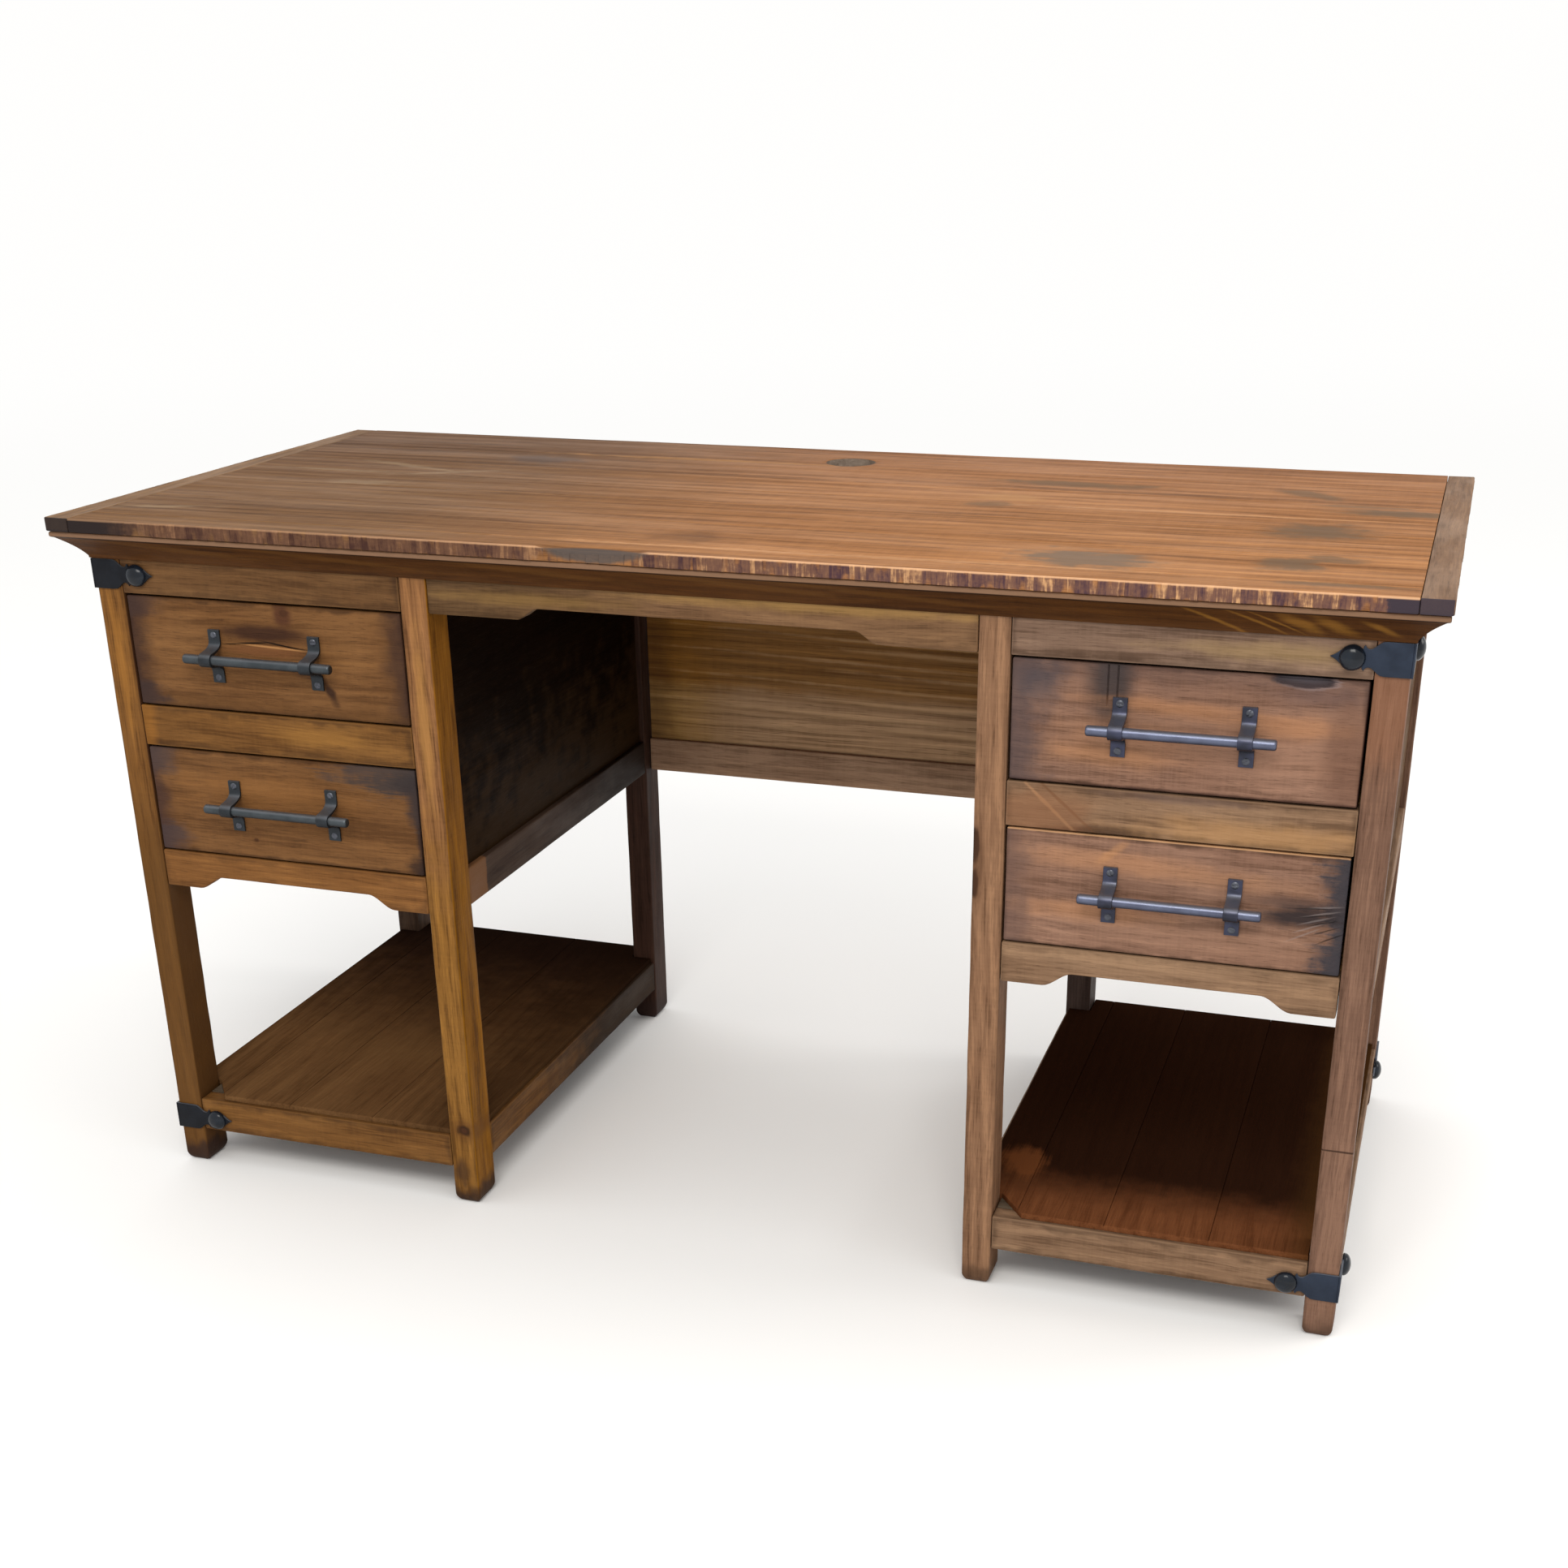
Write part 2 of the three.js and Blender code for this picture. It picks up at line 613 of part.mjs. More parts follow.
// ---------------------------------------------------------------- corner straps
// One leg of a strap: wide at the corner, a waisted shoulder, a round head and a point.
// X runs along the leg from the corner and Y is the height above its middle.
function strapLegOutline() {
  const half = STRAP.height / 2;
  const neck = half * 0.5;
  const headRadius = STRAP.domeRadius * 0.86;
  const headStart = STRAP.domeAt - headRadius * 0.8;
  const outline = new THREE.Shape();
  outline.moveTo(0, -half);
  outline.lineTo(STRAP.wideLength * 0.8, -half);
  outline.quadraticCurveTo(STRAP.wideLength, -half + 1, STRAP.neckAt, -neck);
  outline.lineTo(headStart, -headRadius * 0.95);
  outline.lineTo(STRAP.domeAt + headRadius * 0.5, -headRadius * 0.9);
  outline.lineTo(STRAP.legLength, 0);
  outline.lineTo(STRAP.domeAt + headRadius * 0.5, headRadius * 0.9);
  outline.lineTo(headStart, headRadius * 0.95);
  outline.lineTo(STRAP.neckAt, neck);
  outline.quadraticCurveTo(STRAP.wideLength, half - 1, STRAP.wideLength * 0.8, half);
  outline.lineTo(0, half);
  outline.closePath();
  return outline;
}

// Domed nail head standing on the leg, with its axis along +Z.
function nailHeadGeometry() {
  const sunk = STRAP.thickness * 0.2;
  const rim = STRAP.thickness * 0.8;
  const steps = 6;
  const profile = [new THREE.Vector2(0, sunk), new THREE.Vector2(STRAP.domeRadius, sunk)];
  for (let i = 0; i < steps; i += 1) {
    const angle = (i / steps) * (Math.PI / 2);
    const radius = STRAP.domeRadius * Math.cos(angle);
    profile.push(new THREE.Vector2(radius, rim + (STRAP.domeHeight - rim) * Math.sin(angle)));
  }
  profile.push(new THREE.Vector2(0, STRAP.domeHeight));
  return new THREE.LatheGeometry(profile, 20).rotateX(Math.PI / 2);
}

// The strap for the front right corner. Its corner is at the origin: one leg runs
// along -X on the front face, the other along +Y on the side face.
function strapGeometry() {
  const plate = new THREE.ExtrudeGeometry(strapLegOutline(), {
    depth: STRAP.thickness,
    bevelEnabled: false,
    curveSegments: 4,
  });
  const leg = joined([plate, nailHeadGeometry().translate(STRAP.domeAt, 0, 0)]);
  const left = new THREE.Vector3(-1, 0, 0);
  const back = new THREE.Vector3(0, 1, 0);
  const front = new THREE.Vector3(0, -1, 0);
  const right = new THREE.Vector3(1, 0, 0);
  const up = new THREE.Vector3(0, 0, 1);
  const down = new THREE.Vector3(0, 0, -1);
  const frontLeg = leg.clone().applyMatrix4(new THREE.Matrix4().makeBasis(left, down, front));
  const sideLeg = leg.clone().applyMatrix4(new THREE.Matrix4().makeBasis(back, up, right));
  const halfHeight = STRAP.height / 2;
  const corner = boardGeometry(
    [-OVERLAP, STRAP.thickness],
    [-STRAP.thickness, OVERLAP],
    [-halfHeight, halfHeight]
  );
  const postSpan = [-STRAP.height, STRAP.height];
  const post = boardGeometry([-STRAP.legLength, 0], [0, STRAP.legLength], postSpan);
  return cut(joined([corner, frontLeg, sideLeg]), [post]);
}

function addStraps() {
  const places = [
    { height: 'upper', z: CROWN_BOTTOM - GAP - STRAP.height / 2 },
    { height: 'lower', z: FOOT_HEIGHT + STRAP.height / 2 },
  ];
  for (const { side, hand } of SIDES) {
    for (const { height, z } of places) {
      const strap = addPart(`corner_strap_${hand}_${height}`, strapGeometry(), FINISH.iron);
      if (side < 0) {
        strap.rotation.z = -Math.PI / 2;
      }
      strap.position.set(side * (FRAME_X + GAP), -FRAME_Y - GAP, z);
    }
  }
}

addTop();
addCrown();
addPosts();
addFrontRails();
addSides();
addBacks();
addShelves();
addRunners();
addDrawers();
addStraps();

export default desk;
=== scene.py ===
import math

import bmesh
import bpy
import numpy as np
from mathutils import Matrix, Vector


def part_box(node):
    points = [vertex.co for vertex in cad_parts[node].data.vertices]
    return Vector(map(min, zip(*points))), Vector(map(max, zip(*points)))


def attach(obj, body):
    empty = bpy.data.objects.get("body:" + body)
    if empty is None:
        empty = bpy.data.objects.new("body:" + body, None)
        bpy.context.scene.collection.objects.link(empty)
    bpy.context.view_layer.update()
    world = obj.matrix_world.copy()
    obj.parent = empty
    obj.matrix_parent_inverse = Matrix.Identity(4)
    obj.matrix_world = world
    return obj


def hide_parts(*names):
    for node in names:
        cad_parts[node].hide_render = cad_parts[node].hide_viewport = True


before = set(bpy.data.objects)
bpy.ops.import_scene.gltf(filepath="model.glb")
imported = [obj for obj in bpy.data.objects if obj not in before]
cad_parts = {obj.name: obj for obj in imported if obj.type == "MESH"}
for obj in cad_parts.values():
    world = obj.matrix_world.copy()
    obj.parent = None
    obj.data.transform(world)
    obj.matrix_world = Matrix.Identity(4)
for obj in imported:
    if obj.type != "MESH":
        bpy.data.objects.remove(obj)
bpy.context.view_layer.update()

MM = 0.001
BODY = "desk_frame"
HANDS = {"left": -1, "right": 1}
DRAWERS = {1: "left", 2: "left", 3: "right", 4: "right"}
GRIME = "2a1a10"  # the dirt in the pores and along the arrises


def linked(name, data):
    made = bpy.data.objects.new(name, data)
    bpy.context.scene.collection.objects.link(made)
    return made


def box_of(node):
    low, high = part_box(node)
    return np.array(low), np.array(high)


POST_LOW, POST_HIGH = box_of("post_right_outer_front")
FRAME_X, FRAME_Y = POST_HIGH[0], -POST_LOW[1]  # from the middle to the outer faces of the posts
TOP_UNDER, TOP_Z = box_of("top_front_strip")[0][2], box_of("top_front_strip")[1][2]


# ------------------------------------------------------------------ camera, light, floor
def add_camera():
    """The camera stands before the right half of the desk and looks down and left."""
    yaw, pitch, roll = 0.310769, -0.439596, -0.006826
    place = (0.71227, -2.11349, 1.14225)
    forward = Vector((-math.sin(yaw) * math.cos(pitch), math.cos(yaw) * math.cos(pitch), math.sin(pitch)))
    level = Vector((math.cos(yaw), math.sin(yaw), 0))
    over = level.cross(forward)
    right = level * math.cos(roll) + over * math.sin(roll)
    up = over * math.cos(roll) - level * math.sin(roll)
    data = bpy.data.cameras.new("camera")
    data.sensor_width = 36
    data.lens = 46.4506
    data.shift_x = -0.02318
    data.shift_y = 0.17444
    camera = linked("camera", data)
    turn = Matrix((right, up, -forward)).transposed()
    camera.matrix_world = Matrix.Translation(place) @ turn.to_4x4()
    bpy.context.scene.camera = camera


def add_light(name, place, target, size, power, color):
    data = bpy.data.lights.new(name, "AREA")
    data.shape = "RECTANGLE"
    data.size, data.size_y = size
    data.energy = power
    data.color = color
    light = linked(name, data)
    light.location = place
    light.rotation_euler = (Vector(target) - Vector(place)).to_track_quat("-Z", "Y").to_euler()


def add_studio():
    """A white room with soft lamps. Far from the desk the floor turns into the white of the
    room, so that no horizon shows."""
    white, brightness = (1.0, 0.995, 0.985, 1), 1.0
    world = bpy.data.worlds.new("studio")
    world.use_nodes = True
    background = world.node_tree.nodes["Background"]
    background.inputs["Color"].default_value = white
    background.inputs["Strength"].default_value = brightness
    bpy.context.scene.world = world
    bpy.context.scene.view_settings.view_transform = "Standard"

    add_light("key", (0.5, -2.8, 3.0), (0.0, 0.0, 0.5), (1.8, 1.2), 62, (1.0, 0.97, 0.92))
    add_light("side", (3.0, 0.6, 2.2), (0.3, 0.0, 0.6), (1.4, 1.4), 24, (1.0, 0.96, 0.92))

    reach, near, far = 60.0, 2.5, 9.0
    mesh = bpy.data.meshes.new("floor")
    corners = [(-reach, -reach, 0), (reach, -reach, 0), (reach, reach, 0), (-reach, reach, 0)]
    mesh.from_pydata(corners, [], [(0, 1, 2, 3)])
    floor = linked("floor", mesh)
    paint, t, shader = new_material("floor_paint")
    glow = t.fade(t.vector("LENGTH", t.here()), near, far)
    t.put(shader.inputs["Base Color"], t.mix(glow, (0.94, 0.94, 0.935), (0.0, 0.0, 0.0)))
    t.put(shader.inputs["Emission Strength"], t.times(glow, brightness))
    t.put(shader.inputs["Emission Color"], white)
    t.put(shader.inputs["Specular IOR Level"], 0.0)
    t.put(shader.inputs["Roughness"], 1.0)
    mesh.materials.append(paint)


# ------------------------------------------------------------------ node trees
def linear(text):
    """A colour written as rrggbb, in linear light."""
    parts = [int(text[i : i + 2], 16) / 255 for i in (0, 2, 4)]
    return tuple(c / 12.92 if c <= 0.04045 else ((c + 0.055) / 1.055) ** 2.4 for c in parts)


HALF = (0.5, 0.5, 0.5)  # the mean of a noise


class Tree:
    """Short names for the nodes that the materials below are made of."""

    def __init__(self, tree):
        self.nodes, self.links = tree.nodes, tree.links

    def put(self, socket, value):
        if isinstance(value, str):
            value = linear(value)
        if isinstance(value, bpy.types.NodeSocket):
            self.links.new(value, socket)
        elif value is not None:
            if socket.type == "RGBA" and len(value) == 3:
                value = (*value, 1)
            socket.default_value = value

    def node(self, kind, inputs=(), **settings):
        made = self.nodes.new(kind)
        for key, value in settings.items():
            setattr(made, key, value)
        for key, value in dict(inputs).items():
            self.put(made.inputs[key], value)
        return made

    def math(self, operation, a, b=None):
        inputs = {0: a} if b is None else {0: a, 1: b}
        return self.node("ShaderNodeMath", inputs, operation=operation).outputs[0]

    def times(self, a, b):
        return self.math("MULTIPLY", a, b)

    def plus(self, a, b):
        return self.math("ADD", a, b)

    def minus(self, a, b):
        return self.math("SUBTRACT", a, b)

    def vector(self, operation, a, b=None):
        inputs = {0: a} if b is None else {0: a, 1: b}
        made = self.node("ShaderNodeVectorMath", inputs, operation=operation)
        return made.outputs["Value" if operation == "LENGTH" else "Vector"]

    def scaled(self, vector, factors):
        return self.vector("MULTIPLY", vector, factors)

    def here(self, output="Object"):
        return self.node("ShaderNodeTexCoord").outputs[output]

    def relief(self, strength, height):
        inputs = {"Strength": strength, "Distance": 0.6 * MM, "Height": height}
        return self.node("ShaderNodeBump", inputs).outputs[0]

    def mix(self, factor, a, b, blend="MIX"):
        made = self.node("ShaderNodeMix", {0: factor, 6: a, 7: b}, data_type="RGBA", blend_type=blend)
        return made.outputs[2]

    def split(self, vector):
        return self.node("ShaderNodeSeparateXYZ", {0: vector}).outputs

    def join(self, x, y, z):
        return self.node("ShaderNodeCombineXYZ", {0: x, 1: y, 2: z}).outputs[0]

    def noise(self, vector, detail=2.0, roughness=0.5, output=0, scale=1.0):
        inputs = {"Vector": vector, "Scale": scale, "Detail": detail, "Roughness": roughness}
        return self.node("ShaderNodeTexNoise", inputs).outputs[output]

    def fade(self, value, start, end, low=0.0, high=1.0):
        """low at start and high at end, with a soft turn at both."""
        inputs = {"Value": value, "From Min": start, "From Max": end, "To Min": low, "To Max": high}
        return self.node("ShaderNodeMapRange", inputs, interpolation_type="SMOOTHSTEP").outputs[0]


def new_material(name):
    """A material, the short names for its nodes, and its shader."""
    material = bpy.data.materials.new(name)
    material.use_nodes = True
    return material, Tree(material.node_tree), material.node_tree.nodes["Principled BSDF"]


def grain_group():
    """The figure of sawn pine, with the grain along X: growth rings cut at a slant, broad
    and narrow streaks, fibre and pores. Every output runs from 0 to 1."""
    tree = bpy.data.node_groups.new("grain", "ShaderNodeTree")
    tree.interface.new_socket("Vector", in_out="INPUT", socket_type="NodeSocketVector")
    for name in ("Tone", "Streak", "Pale", "Fibre", "Pore", "Cloud", "Saw"):
        tree.interface.new_socket(name, in_out="OUTPUT", socket_type="NodeSocketFloat")
    t = Tree(tree)
    place = t.node("NodeGroupInput").outputs[0]
    out = t.node("NodeGroupOutput")

    def streaks(along, across, detail, rough=0.5, offset=None):
        stretched = t.scaled(place, (along, across, across))
        if offset:
            stretched = t.vector("ADD", stretched, offset)
        return t.noise(stretched, detail, rough)

    for along, across, detail, sway in ((2.1, 9.0, 3.0, 0.022), (8.0, 30.0, 2.0, 0.0020)):
        wander = t.noise(t.scaled(place, (along, across, across)), detail, output=1)
        wander = t.vector("SUBTRACT", wander, HALF)
        place = t.vector("ADD", place, t.scaled(wander, (0.0, sway, sway)))

    x, y, z = t.split(place)
    slant = t.join(x, t.plus(y, t.times(x, 0.045)), z)
    rings = t.node(
        "ShaderNodeTexWave",
        {"Vector": slant, "Scale": 24.0, "Distortion": 1.2, "Detail": 2.0, "Detail Scale": 0.5},
        wave_type="RINGS",
        rings_direction="X",
        wave_profile="SIN",
    ).outputs["Fac"]
    broad = streaks(1.6, 18.0, 3.0, 0.55)
    narrow = streaks(5.0, 130.0, 3.0, 0.6)
    streak = streaks(5.0, 230.0, 2.0, 0.55)
    pale = streaks(7.0, 260.0, 2.0, 0.55, (9.0, 3.0, 5.0))
    fibre = streaks(20.0, 520.0, 2.0, 0.6)
    pores = streaks(70.0, 1500.0, 1.0)
    cloud = streaks(6.5, 22.0, 4.0, 0.6)
    mottle = streaks(34.0, 170.0, 3.0, 0.65)

    tone = t.times(broad, 0.28)
    for value, share in ((narrow, 0.26), (rings, 0.07), (fibre, 0.25), (mottle, 0.14)):
        tone = t.plus(tone, t.times(value, share))
    t.put(out.inputs["Tone"], t.fade(tone, 0.34, 0.66))
    t.put(out.inputs["Streak"], t.fade(streak, 0.56, 0.74))
    t.put(out.inputs["Pale"], t.fade(pale, 0.58, 0.76))
    t.put(out.inputs["Fibre"], fibre)
    t.put(out.inputs["Pore"], t.fade(pores, 0.62, 0.74))
    t.put(out.inputs["Cloud"], t.fade(cloud, 0.30, 0.70))
    t.put(out.inputs["Saw"], t.fade(streaks(330.0, 9.0, 2.0, 0.6), 0.30, 0.70))
    return tree


GRAIN = grain_group()


def ellipse(kind, x, height, wide, tall, turn, face, **more):
    at, size = (x * MM, height * MM), (wide * MM, tall * MM)
    return dict(kind=kind, at=at, size=size, turn=math.radians(turn), face=face, **more)


def spot(x, height, wide, tall, color, strength=0.8, soft=0.3, turn=0.0, warp=0.5, face="front", rag=0.5):
    """An elliptical mark, in millimetres: on a front face at (x, z), on the top at (x, y).
    rag is how far the grain breaks up its outline."""
    look = dict(color=linear(color), strength=strength, soft=soft, warp=warp, rag=rag, blend="MIX")
    return ellipse("spot", x, height, wide, tall, turn, face, **look)


def band(axis, full, gone, color, strength=0.8, warp=0.5, rag=0.5):
    """A mark that is full at one coordinate and beyond, and gone at another, in millimetres."""
    look = dict(color=linear(color), strength=strength, warp=warp, rag=rag, blend="MIX")
    return dict(kind="band", axis="xyz".index(axis), full=full * MM, gone=gone * MM, **look)


def toning(axis, full, gone, stained, wanted, strength=1.0, warp=0.3, rag=0.1):
    """A band that turns one stain into another: it darkens the grain and does not cover it."""
    ratio = tuple(min(1.0, b / a) for a, b in zip(linear(stained), linear(wanted)))
    return band(axis, full, gone, stained, strength, warp, rag) | dict(color=ratio, blend="MULTIPLY")


def knot(x, height, wide, tall, strength=0.9, turn=0.0, face="front"):
    """A knot: the grain runs round it, and it has a halo, a dark ring and a dark eye."""
    return [
        ellipse("flow", x, height, wide * 1.7, tall * 1.7, turn, face),
        spot(x, height, wide * 1.35, tall * 1.35, "4a2a16", strength * 0.55, 0.55, turn, 0.5, face),
        spot(x, height, wide * 0.72, tall * 0.72, "24140c", strength, 0.35, turn, 0.45, face),
        spot(x, height, wide * 0.42, tall * 0.42, "50301c", strength * 0.6, 0.5, turn, 0.4, face),
    ]


def mapping(t, place, location, rotation, scale):
    inputs = {"Vector": place, "Location": location, "Rotation": rotation, "Scale": scale}
    return t.node("ShaderNodeMapping", inputs, vector_type="TEXTURE").outputs[0]


def mapped(t, place, mark):
    """Coordinates in which the mark is a circle of radius 1 round the origin."""
    (a, b), (wide, tall) = mark["at"], mark["size"]
    if mark["face"] == "front":
        location, rotation, scale = (a, -FRAME_Y, b), (0, -mark["turn"], 0), (wide, 1.0, tall)
    else:
        location, rotation, scale = (a, b, TOP_Z), (0, 0, mark["turn"]), (wide, tall, 1.0)
    return mapping(t, place, location, rotation, scale)


def bent_grain(t, place, mark):
    """Moves the grain's coordinates so that its lines swell round a knot."""
    local = mapped(t, place, mark)
    near = t.math("EXPONENT", t.times(t.math("POWER", t.vector("LENGTH", local), 2.0), -1.0))
    across = 2 if mark["face"] == "front" else 1
    push = t.times(t.times(t.split(local)[across], near), -0.8 * mark["size"][1])
    return t.vector("ADD", place, t.join(*[push if i == across else 0.0 for i in range(3)]))


def mark_mask(t, place, warp, tone, mark):
    """How strongly a mark colours the wood at each place."""
    ragged = t.times(t.minus(0.5, tone), mark["rag"])
    if mark["kind"] == "spot":
        inputs = {0: warp, "Scale": mark["warp"] * 2.4}
        bent = t.node("ShaderNodeVectorMath", inputs, operation="SCALE").outputs[0]
        reach = t.vector("LENGTH", t.vector("ADD", mapped(t, place, mark), bent))
        mask = t.fade(t.plus(reach, ragged), 1 + mark["soft"], 1 - mark["soft"])
    else:
        width = mark["gone"] - mark["full"]
        stray = t.times(t.split(warp)[0], mark["warp"] * 4.0)
        reach = t.math("DIVIDE", t.minus(t.split(place)[mark["axis"]], mark["full"]), width)
        mask = t.fade(t.plus(t.plus(reach, stray), ragged), 1.0, 0.0)
    return t.times(mask, mark["strength"])


def shades(color, spread=1.0):
    """The dark, middle and light tone of a stain, in linear light."""
    middle = np.array(linear(color))
    dark = middle * (1 - spread * np.array((0.50, 0.54, 0.58)))
    light = middle * (1 + spread * np.array((0.42, 0.46, 0.44)))
    return tuple(dark), tuple(middle), tuple(np.minimum(light, 0.9))


def wood(name, stained, grain, seed, box=None, marks=(), grime=0.45, grime_width=9.0, spread=0.8, arris=0.35,
         rough=(0.5, 0.7), bump=0.4, cloud=0.35, fine=0.6, sheen=0.08, sawn=0.08, short=1.0):
    """Stained pine. box is (low, high) of the board, whose arrises are worn and grimy. The
    smaller short is, the longer the streaks of its grain."""
    dark, mid, light = shades(stained, spread)
    material, t, shader = new_material("wood_" + name)
    rng = np.random.default_rng(seed + 1000)
    place = t.here()
    marks = [m for entry in marks for m in (entry if isinstance(entry, list) else [entry])]

    run = place
    for mark in marks:
        if mark["kind"] == "flow":
            run = bent_grain(t, run, mark)
    x, y, z = t.split(run)
    order = {"x": (x, y, z), "y": (y, x, z), "z": (z, x, y)}[grain]
    shift = tuple(float(v) for v in rng.uniform(-4, 4, 3))
    along = t.vector("ADD", t.scaled(t.join(*order), (short, 1.0, 1.0)), shift)
    figure = t.node("ShaderNodeGroup", {}, node_tree=GRAIN)
    t.put(figure.inputs["Vector"], along)
    tone, streak, pale, fibre, pore, patch, saw = figure.outputs
    tone = t.plus(tone, t.times(t.minus(saw, 0.5), sawn))

    lower = t.mix(t.fade(tone, 0.0, 0.5), dark, mid)
    color = t.mix(t.fade(tone, 0.5, 1.0), lower, light)
    color = t.mix(t.times(streak, 0.55 * fine), color, dark)
    color = t.mix(t.times(pale, 0.55 * fine), color, light)
    color = t.mix(t.times(patch, cloud), color, (0.55, 0.47, 0.42), "MULTIPLY")
    color = t.mix(t.times(t.fade(patch, 0.45, 0.0), cloud * 0.6), color, light)
    color = t.mix(t.times(pore, 0.5 * fine), color, GRIME)

    warp_noise = t.noise(t.scaled(place, (38.0, 38.0, 38.0)), 3.0, 0.55, output=1)
    warp = t.vector("SUBTRACT", warp_noise, HALF)
    if box is not None:
        low, high = box
        gaps = []
        for part, a, b in zip(t.split(place), low, high):
            gaps.append(t.math("MINIMUM", t.minus(part, a), t.minus(b, part)))
        # the second smallest gap is the distance from the nearest arris
        middle = t.math("MAXIMUM", t.math("MINIMUM", gaps[0], gaps[1]),
                        t.math("MINIMUM", t.math("MAXIMUM", gaps[0], gaps[1]), gaps[2]))
        stray = t.times(t.split(warp)[1], grime_width * 2.6 * MM)
        edge = t.plus(middle, stray)
        dirty = t.times(t.fade(edge, grime_width * MM, 0.0), grime)
        color = t.mix(dirty, color, GRIME)
        rubbed_edge = t.plus(middle, t.times(stray, 0.12))
        color = t.mix(t.times(t.fade(rubbed_edge, 2.2 * MM, 0.6 * MM), arris), color, light)
    gloss = t.fade(t.plus(t.times(fibre, 0.4), t.times(patch, 0.6)), 0.1, 0.9, *rough)
    for mark in marks:
        if mark["kind"] != "flow":
            color = t.mix(mark_mask(t, place, warp, tone, mark), color, mark["color"], mark["blend"])

    height = t.plus(t.times(fibre, 0.35), t.times(tone, 0.65))
    height = t.minus(height, t.times(pore, 0.6))
    t.put(shader.inputs["Normal"], t.relief(bump, height))
    t.put(shader.inputs["Base Color"], color)
    t.put(shader.inputs["Roughness"], gloss)
    t.put(shader.inputs["Specular IOR Level"], sheen)
    return material


def iron(name, base, glint, rough, bump=0.5, metallic=0.75, sheen=0.5, rub=0.75):
    """Forged iron: blue-black scale, with painted shade on the faces that look down and a painted highlight
    on those that look up.
    rub is how strong that painted light is."""
    material, t, shader = new_material("iron_" + name)
    place = t.here()
    blotch = t.noise(place, 2.0, 0.5, scale=60.0)
    speck = t.noise(place, 2.0, 0.6, scale=620.0)
    dents = t.noise(place, 1.5, 0.5, scale=190.0)
    color = t.mix(t.fade(blotch, 0.3, 0.7), base, glint)
    # painted light: faces that look down are darkened as painted shade, faces that look up are lightened as a
    # painted highlight
    faces_up = t.split(t.here("Normal"))[2]
    color = t.mix(t.fade(faces_up, 0.35, -0.7, 0.0, rub), color, (0.25, 0.25, 0.28), "MULTIPLY")
    painted_highlight = t.fade(faces_up, 0.3, 0.95, 0.0, rub)
    color = t.mix(painted_highlight, color, t.mix(0.5, glint, (0.3, 0.31, 0.34)))
    color = t.mix(t.times(t.fade(speck, 0.6, 0.75), 0.2), color, "2b1d16")
    height = t.plus(t.times(dents, 0.8), t.times(speck, 0.2))
    t.put(shader.inputs["Normal"], t.relief(bump, height))
    t.put(shader.inputs["Base Color"], color)
    t.put(shader.inputs["Roughness"], t.fade(blotch, 0.25, 0.8, *rough))
    t.put(shader.inputs["Metallic"], metallic)
    t.put(shader.inputs["Specular IOR Level"], sheen)
    return material


# ------------------------------------------------------------------ shapes
def waves(points, seed, length):
    """Smooth unevenness between about -1 and 1, that changes over this length."""
    rng = np.random.default_rng(seed)
    total = np.zeros(len(points))
    for _ in range(8):
        way = rng.normal(size=3)
        way *= 2 * math.pi / length / np.linalg.norm(way) * rng.uniform(0.6, 1.5)
        total += np.sin(points @ way + rng.uniform(0, 2 * math.pi))
    return np.clip(total / 4.0, -1.0, 1.0)


def ticks(low, high, radius, step, extra=()):
    """Grid lines across a board: close together over its rounded arrises, then a step apart."""
    edge = [radius * f for f in (0.0, 0.45, 1.0, 1.8)]
    first, last = low + edge[-1], high - edge[-1]
    count = max(1, math.ceil((last - first) / step))
    inner = [first + (last - first) * i / count for i in range(1, count)]
    inner += [e for e in extra if first < e < last]
    lines = sorted([low + e for e in edge] + inner + [high - e for e in edge])
    kept = lines[:1]
    for line in lines[1:]:
        if line - kept[-1] > 0.04 * MM:
            kept.append(line)
    return np.array(kept)


def board(low, high, radius=1.6, step=16.0, wobble=0.25, seed=0, extra=((), (), ()), length=0.06, shape=None):
    """A board with rounded arrises and slightly uneven faces that stay inside its box.
    shape(points, normals) then moves its points and returns them. Radius, step and wobble
    are in millimetres, and extra holds more grid lines on each axis, in metres."""
    low, high = np.array(low, float), np.array(high, float)
    radius = min(radius * MM, 0.24 * float((high - low).min()))
    lines = [ticks(low[i], high[i], radius, step * MM, extra[i]) for i in range(3)]
    sizes = tuple(len(line) for line in lines)
    shell = np.ones(sizes, bool)
    shell[1:-1, 1:-1, 1:-1] = False
    number = np.full(sizes, -1)
    number[shell] = np.arange(shell.sum())
    points = np.stack(np.meshgrid(*lines, indexing="ij"), -1)[shell]
    faces = []
    for axis in range(3):
        for end in (0, -1):
            sheet = np.take(number, end, axis)
            corners = (sheet[:-1, :-1], sheet[1:, :-1], sheet[1:, 1:], sheet[:-1, 1:])
            quads = np.stack(corners, -1).reshape(-1, 4)
            faces.append(quads[:, ::-1] if (end == 0) != (axis == 1) else quads)
    core = np.clip(points, low + radius, high - radius)
    normals = points - core
    normals /= np.linalg.norm(normals, axis=1)[:, None]
    points = core + normals * radius
    depth = wobble * MM * (0.5 + 0.5 * waves(points, seed, length))
    points = points - normals * depth[:, None]
    if shape is not None:
        points = shape(points, normals)
    return points, np.concatenate(faces).tolist()


def sweep(loops):
    """A closed solid through a row of loops of the same number of points."""
    count, rows = len(loops[0]), len(loops)
    faces = [list(range(count))[::-1]]
    for row in range(rows - 1):
        for i in range(count):
            a, b = row * count + i, row * count + (i + 1) % count
            faces.append([a, b, b + count, a + count])
    faces.append([(rows - 1) * count + i for i in range(count)])
    return np.concatenate(loops), faces


